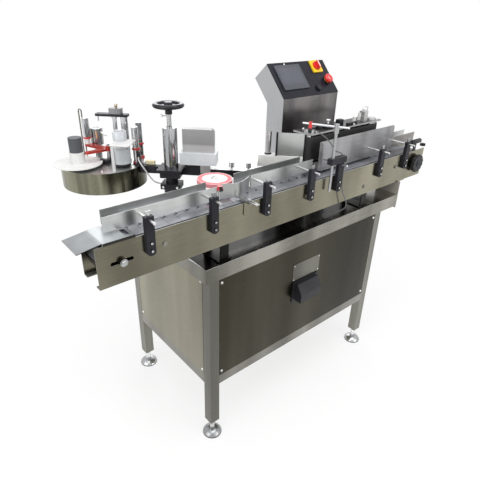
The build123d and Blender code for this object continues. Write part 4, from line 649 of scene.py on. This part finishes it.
def cap_screw(radius, high):
    """A round head with a sunk socket: (radius, height) from the foot over the rim and down into the socket."""
    return turned([(0, 0), (radius, 0), (radius, high * 0.85), (radius * 0.9, high), (radius * 0.5, high),
                   (radius * 0.46, high * 0.45), (0, high * 0.45)], 20)


def dome_screw(radius, high):
    """A low domed head with a small recess: (radius, height) follows a quarter round, then drops into the recess."""
    rise = np.linspace(0, 1.25, 7)
    return turned([(0, 0)] + [(radius * math.cos(a), high * math.sin(a)) for a in rise]
                  + [(radius * 0.26, high * 0.6), (0, high * 0.6)], 20)


def hexagon(radius):
    """Six corners on a circle: x is radius times cosine, y is radius times sine."""
    angle = np.arange(6) * np.pi / 3
    return radius * np.stack([np.cos(angle), np.sin(angle)], -1)


def hex_head(radius, high, washer=0.0):
    """A six-sided head over a round washer: a hexagon carried up and drawn in at its top corners."""
    head = raised(hexagon(radius), [(0, 0), (0, 1), (high * 0.82, 1), (high, 0.86), (high, 0)])
    return together([head, turned([(0, 0), (washer, 0), (washer, 1.4), (0, 1.4)], 24)]) if washer else head


def knurled(radius, high, flutes=18, depth=0.06):
    """A finger knob: its radius waves by the flutes' depth times the cosine of flutes times the angle."""
    angle = np.arange(flutes * 4) * 2 * np.pi / (flutes * 4)
    ring = radius * (1 + depth * (np.cos(flutes * angle) - 1))
    edge = np.stack([ring * np.cos(angle), ring * np.sin(angle)], -1)
    return raised(edge, [(0, 0), (0, 0.9), (high * 0.1, 1), (high * 0.88, 1), (high, 0.86), (high, 0)])


def pin(radius, high, steps=28):
    """A plain round pin, closed at both ends: (radius, height) up its side."""
    return turned([(0, 0), (radius, 0), (radius, high), (0, high)], steps)


def closed_ring(profile, steps=40):
    """A ring of any section: the profile of (radius, height) goes once round and comes back to its start."""
    return turned(list(profile) + [profile[0]], steps)


def on_head(shape, s, t, z=DECK, spin=0.0):
    """A shape stood at a point of the head, turned with the head."""
    return stood(shape, np.array(head_point(s, t, z)) / MM, spin=HEAD_TURN + spin)


FACE_CORNER = (106, 20, 1134)
FACE_BACK, FACE_UP = 0.6704, 0.742


def on_face(shape, u, v, h, spin=0.0):
    """A shape stood on the console's sloping face: u across, v up the slope, h off the face."""
    x, y, z = FACE_CORNER
    place = (x + u, y + FACE_BACK * v - FACE_UP * h, z + FACE_UP * v + FACE_BACK * h)
    return stood(shape, place, (0, -FACE_UP, FACE_BACK), spin)


FRONT, LEFT, REAR, RIGHT = (0, -1, 0), (-1, 0, 0), (0, 1, 0), (1, 0, 0)
FEET = [(x, y) for x in (-429, 429) for y in (-240, 240)]

# Small fasteners
piece("post_bolts",
      [stood(cap_screw(3.3, 4.4), (x, POST_FACE, z), FRONT)
       for x in (-633, -426, -220, -16, 129, 387, 565) for z in (866, 889)],
      "machine", bright_steel)
panel_screw = dome_screw(5.2, 3.0)
piece("panel_screw_heads",
      [stood(panel_screw, (x, PANEL_FACE, z), FRONT) for x in (-399.5, 399.5) for z in (304, 671)]
      + [stood(panel_screw, (-448, y, z), LEFT) for y in (-210.5, 210.5) for z in (304, 671)],
      "machine", bright_steel)
spacer_bolt = hex_head(6.3, 4.4, 8.0)
piece("conveyor_bolts",
      [stood(spacer_bolt, (x, SIDE_FRONT, z), FRONT, 0.4) for x, z in ((-586, 867), (-28, 867), (512, 867), (308, 827))]
      + [stood(spacer_bolt, (x, SIDE_REAR, 867), REAR, 0.4) for x in (-586, -28, 512)],
      "machine", cross_steel)
piece("plate_rivets",
      [stood(dome_screw(2.6, 1.4), (x, PLATE_FACE, z), FRONT) for x in (-66, 66) for z in (549, 607)],
      "machine", bright_steel)
thread = turned([(0, 0)] + [(8.9 if k % 2 else 8.15, 1.5 * k) for k in range(20)] + [(0, 30)], 20)
piece("foot_threads", [stood(thread, (*foot, 28)) for foot in FEET], "machine", bright_steel)
pad = closed_ring([(28, 0), (35.4, 0), (35.6, 1.6), (35.2, 3.4), (28, 3.4)])
piece("foot_pads", [stood(pad, (*foot, 0)) for foot in FEET], "machine", black_rubber)
piece("take_up_nut", [stood(hex_head(8.6, 6.0, 10.6), (-711.6, -258.0, 857.2), FRONT, 0.3)],
      "chain_idler", rod_steel)
piece("hand_knob_disc",
      [stood(turned([(0, 0), (14, 0), (14, 1.6), (12.6, 2.4), (5, 2.4), (4.4, 1.2), (0, 1.2)]),
             (660, -269.3, 857.2), FRONT)],
      "chain_drive", grey_plastic)

# Painted highlight: a thin bright strip along the table's front and left top edges
piece("table_edge_highlight",
      [stood(slab(1016, 3.2, 0.8, 0.5, 0.25), (47, -259.2, TABLE)),
       stood(slab(3.2, 512, 0.8, 0.5, 0.25), (-460.2, 0, TABLE))],
      "machine", bright_steel)

# Chevrons on the slats, and the soft rim and the washer of the divider wheel
piece("slat_marks",
      [stood(slab(3.0, 10.5, 0.6, 0.4, 0.1),
             (-664 + SLAT_PITCH * k + 2.3 * side, -189 + 2.7 * side, CHAIN_MARKS), spin=0.72 * side - 0.7)
       for k in range(32) for side in (-1, 1)],
      "machine", black_plastic)
piece("divider_rim",
      [stood(closed_ring([(40.5, -0.3), (54, -0.3), (56.2, 1.6), (56.2, 10.4), (54, 12.3), (40.5, 12.3)], 64),
             (*DIVIDER, 946))],
      "divider", pink_foam)
piece("divider_washer", [stood(closed_ring([(6, 0), (11.5, 0), (11.5, 1.2), (6, 1.2)]), (*DIVIDER, 958.1))],
      "divider", bright_steel)

# Console's face: screen glass, dot, switch pointer, collar and mark of the stop button
piece("screen_panel", [on_face(slab(113.6, 75.6, 0.7, 0.6, 0.2), 90, 89, 8.25)],
      "machine", screen_glass)
piece("console_dot", [on_face(dome_screw(4.2, 2.0), 85, 144, 4.0)], "machine", bright_steel)
piece("switch_pointer", [on_face(slab(4.0, 29.0, 0.6, 1.5, 0.15), 250, 122, 28.3)],
      "switch", white_plastic)
piece("stop_collar", [on_face(closed_ring([(10, 0), (15.5, 0), (15.5, 3.2), (13.5, 4.1), (10, 4.1)]), 276, 56, 4.0)],
      "machine", yellow_plastic)
piece("stop_mark", [on_face(slab(2.4, 15, 0.4, 1.1, 0.1), 272, 55, 25.25, 0.5)],
      "stop", white_plastic)

# Tip of the small sensor on its stand
piece("sensor_tip",
      [stood(turned([(0, 0), (6.2, 0), (6.6, 1.5), (6.6, 15), (6.2, 16), (0, 16)], 24), (*SENSOR, 1061.8))],
      "machine", black_plastic)

# Console's back: louvres and a cable gland
piece("console_louvres", [stood(slab(120, 5, 1.8, 2.4, 0.6), (263, 108, 840 + 16 * k), REAR) for k in range(8)],
      "machine", console_steel)
gland_nut = turned([(0, 7), (8.5, 7), (8.5, 15), (6, 19), (3.2, 19), (3.2, 14), (0, 14)])
piece("console_gland", [stood(shape, (330, 108, 790), REAR) for shape in (hex_head(11, 7), gland_nut)],
      "machine", black_plastic)

# Wrap station's top: screws, pucks, clamps, knurled knobs and white blocks
piece("wrap_screws", [stood(cap_screw(4.2, 4.0), (x, y, WRAP_TOP)) for x in (130, 250, 350, 500) for y in (-132, -68)],
      "machine", bright_steel)
puck = turned([(0, 0), (11.2, 0), (11.2, 10.5), (9.5, 12.2), (4, 12.2), (3.6, 10), (0, 10)])
piece("wrap_pucks", [stood(puck, (x, -93.7, WRAP_TOP)) for x in (152, 185)],
      "machine", black_plastic)
piece("wrap_clamps",
      [stood(slab(40, 24, 13, 2), (225, -104, WRAP_TOP)), stood(slab(26, 20, 20, 2), (300, -100, WRAP_TOP)),
       stood(slab(60, 10, 8, 2), (345, -124, WRAP_TOP))],
      "machine", black_alloy)
piece("wrap_knob",
      [stood(knurled(9, 14), (437, -110, 1078)), stood(pin(4, 16), (225, -104, 1050)),
       stood(knurled(7, 9), (225, -104, 1062))],
      "machine", bright_steel)
piece("wrap_post",
      [stood(slab(11, 9, 20, 2), (392, -100, WRAP_TOP)), stood(slab(26, 16, 30, 3), (437, -98, WRAP_TOP))],
      "machine", white_plastic)

# Outfeed end: a long black hex block, its bracket and a star knob
hex_block = raised(hexagon(11), [(0, 0), (0, 0.92), (1.5, 1), (65.5, 1), (67, 0.92), (67, 0)])
piece("outfeed_block",
      [stood(hex_block, (618, -240, 949), RIGHT), stood(slab(16, 6, 30, 1), (640, -246, 913)),
       stood(knurled(12, 11, 8, 0.2), (718, -240, 920))],
      "machine", black_plastic)

# Label head: what stands on the round deck
piece("head_columns",
      [on_head(turned([(0, 0), (11, 0), (11, 8), (7.5, 9.5), (7.5, 146), (10, 147), (10, 153), (0, 153)]), -204, 64),
       on_head(turned([(0, 0), (14.5, 0), (14.5, 7), (12, 8.5), (12, 153), (0, 153)]), -173, 69),
       on_head(turned([(0, 0), (8, 0), (8, 40.4), (5, 40.4), (5, 64), (4, 65), (0, 65)]), -228, 40),
       on_head(pin(2.5, 18, 16), -262, 67, 1080)],
      "label_head", chrome)
piece("damper_drum",
      [on_head(turned([(0, 0), (12, 0), (12, 40), (20, 40), (22, 42), (22, 98), (20.5, 100), (12, 100), (10, 98.5),
                       (0, 98.5)], 36), -294, 112)],
      "label_head", rod_steel)
hoop = [(-345, 0.0)] + [(-345, z) for z in (60, 120, 155)] + [
    (-340 - 5 * math.cos(a), 158 + 6 * math.sin(a)) for a in np.linspace(0.3, 2.84, 7)] + [
    (-335, z) for z in (155, 120, 60, 0)]
piece("head_hoop", [carried([np.array(head_point(s, 102, DECK + z)) / MM for s, z in hoop], 2.4)],
      "label_head", cross_steel)
piece("head_bridge",
      [on_head(slab(112, 28, 8, 4), -212, 67, 1098), on_head(slab(25, 20, 7, 2), -117, 18),
       on_head(slab(10, 12, 42, 1), -117, 26), on_head(slab(34, 22, 12, 2), -240, 28)],
      "label_head", black_alloy)
piece("head_bridge_block", [on_head(slab(42, 24, 19, 2), -198, 67, 1106)], "label_head", block_alloy)
piece("head_bridge_knob",
      [on_head(knurled(5.4, 12, 12), -196, 67, 1128), on_head(pin(3.4, 5, 16), -196, 67, 1123.5)],
      "label_head", brass)
piece("drive_bracket", [on_head(slab(11, 7, 83, 1), -176, -60)], "label_head", pale_steel)
piece("drive_plate", [on_head(slab(66, 84, 4, 5, 0.8), -156, -15, 1028)], "label_head", reel_white)
piece("drive_cup",
      [on_head(closed_ring([(8.3, 0), (23, 0), (23, 28.5), (22, 30), (19, 30), (18, 28.5), (18, 4), (8.3, 4)]),
               -174, 12, 1032)],
      "label_head", clear_cup)
strap_place = np.array(head_point(-232, 20, 1047)) / MM
piece("drive_strap", [stood(slab(9, 64, 2, 1, 0.4), strap_place, (0.05, 0.02, 1), HEAD_TURN + 0.62)],
      "label_head", cross_steel)
piece("damper_stripe", [on_head(slab(4.6, 2.4, 24, 0.8, 0.3), -286.5, 90.8, 1012, 0.34)],
      "label_head", amber_tape)
piece("cream_block", [on_head(slab(32, 13, 14, 1.5), -82, 37.5)], "label_head", cream_paint)
piece("deck_screws",
      [on_head(cap_screw(3.6, 3.4), s, t) for s, t in ((-217, -66), (-300, 165), (-150, 130), (-372, 60))],
      "label_head", bright_steel)
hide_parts("head_fittings")


# Head lead: the line's tube, as a mesh that runs from the moving head to the fixed base
def curve_mesh(line):
    """The mesh that a curve makes as it now stands."""
    return bpy.data.meshes.new_from_object(line.evaluated_get(bpy.context.evaluated_depsgraph_get()))


tube_mesh = curve_mesh(head_line)
head_line.data.bevel_depth = 0.0
head_lead_path = [tuple(v.co) for v in curve_mesh(head_line).vertices]
bpy.data.objects.remove(head_line)
tube_mesh.materials.clear()
tube_mesh.materials.append(pale_cable)
tube_mesh.shade_smooth()
head_cord = bpy.data.objects.new("head_cord", tube_mesh)
bpy.context.scene.collection.objects.link(head_cord)
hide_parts("head_lead")
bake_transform(head_cord)

# Lift: thumb screw on the wheel's collar, and screws of the base's clamp
collar_way = (-0.767, 0.642, 0)
piece("wheel_screw",
      [stood(turned([(0, 0), (2, 0), (2, 12), (4.4, 12.5), (4.4, 17), (3.8, 18), (0, 18)], 16),
             (LIFT[0] + collar_way[0] * 8, LIFT[1] + collar_way[1] * 8, 1121), collar_way)],
      "lift_wheel", bright_steel)
piece("lift_screws", [on_head(stood(cap_screw(4.2, 4), (s, -30, 889), FRONT), 0, 0, 0) for s in (-24, 24)],
      "machine", bright_steel)


# Studio: white floor and surround, with large soft lamps above, at the left, in front and behind
def shown_rays(tree):
    """Rays that should see the white surround: from the camera, from gloss and through clear material."""
    path = put(tree, "ShaderNodeLightPath")
    first = put(tree, "ShaderNodeMath", operation="MAXIMUM",
                sockets={0: (path, "Is Camera Ray"), 1: (path, "Is Transmission Ray")})
    both = put(tree, "ShaderNodeMath", operation="MAXIMUM", sockets={0: (first, 0), 1: (path, "Is Glossy Ray")})
    return both.outputs[0]


def lay_over(tree, mask, under, over, output):
    """Lays one shader over another by a mask, and leads both to an output's surface."""
    mix = put(tree, "ShaderNodeMixShader")
    for source, target in zip((mask, under.outputs[0], over.outputs[0]), mix.inputs):
        tree.links.new(source, target)
    tree.links.new(mix.outputs[0], tree.nodes[output].inputs["Surface"])


world = bpy.data.worlds.new("studio")
bpy.context.scene.world = world
world.use_nodes = True
tree = world.node_tree
ground = tree.nodes["Background"]
ground.inputs["Color"].default_value = (0.62, 0.62, 0.62, 1)
seen = put(tree, "ShaderNodeBackground", sockets={"Color": (1, 1, 1, 1), "Strength": 1.0})
lay_over(tree, shown_rays(tree), ground, seen, "World Output")


def lamp(name, place, aim, size, power):
    """A square soft lamp that looks at a point."""
    data = bpy.data.lights.new(name, "AREA")
    data.size = size
    data.energy = power
    lamp_object = bpy.data.objects.new(name, data)
    lamp_object.location = place
    way = np.array(aim, float) - np.array(place, float)
    flat = math.hypot(way[0], way[1])
    lamp_object.rotation_euler = (math.atan2(flat, -way[2]), 0.0, math.atan2(-way[0], way[1]))
    bpy.context.scene.collection.objects.link(lamp_object)


lamp("top lamp", (-0.3, -0.6, 3.2), (0, 0, 0.7), 2.6, 55)
lamp("left lamp", (-3.0, -0.4, 1.6), (0, 0, 0.8), 2.0, 28)
lamp("front lamp", (0.8, -3.2, 1.7), (0, 0, 0.7), 2.0, 26)
lamp("rear lamp", (1.6, 3.0, 2.2), (0, 0, 0.8), 2.4, 30)

REACH, FLOOR_Z = 14.0, -0.0005
floor_mesh = bpy.data.meshes.new("floor")
floor_mesh.from_pydata([(x * REACH, y * REACH, FLOOR_Z) for x, y in ((-1, -1), (1, -1), (1, 1), (-1, 1))],
                       [], [(0, 1, 2, 3)])
floor = bpy.data.objects.new("floor", floor_mesh)
bpy.context.scene.collection.objects.link(floor)
floor_white, tree, shader = new_material("floor white")
shader.inputs["Base Color"].default_value = (0.92, 0.92, 0.92, 1)
shader.inputs["Roughness"].default_value = 0.9
shader.inputs["Specular IOR Level"].default_value = 0.1
glow = put(tree, "ShaderNodeEmission", sockets={"Color": (1, 1, 1, 1), "Strength": 1.0})
place = put(tree, "ShaderNodeTexCoord")
away = put(tree, "ShaderNodeVectorMath", operation="LENGTH", sockets={0: (place, "Object")})
plain = put(tree, "ShaderNodeMapRange", sockets={
    "Value": (away, "Value"), "From Min": 0.9, "From Max": 2.2, "To Min": 0.72, "To Max": 1.0})
share = put(tree, "ShaderNodeMath", operation="MULTIPLY", sockets={1: (plain, "Result")})
tree.links.new(shown_rays(tree), share.inputs[0])
lay_over(tree, share.outputs[0], shader, glow, "Material Output")
floor_mesh.materials.append(floor_white)
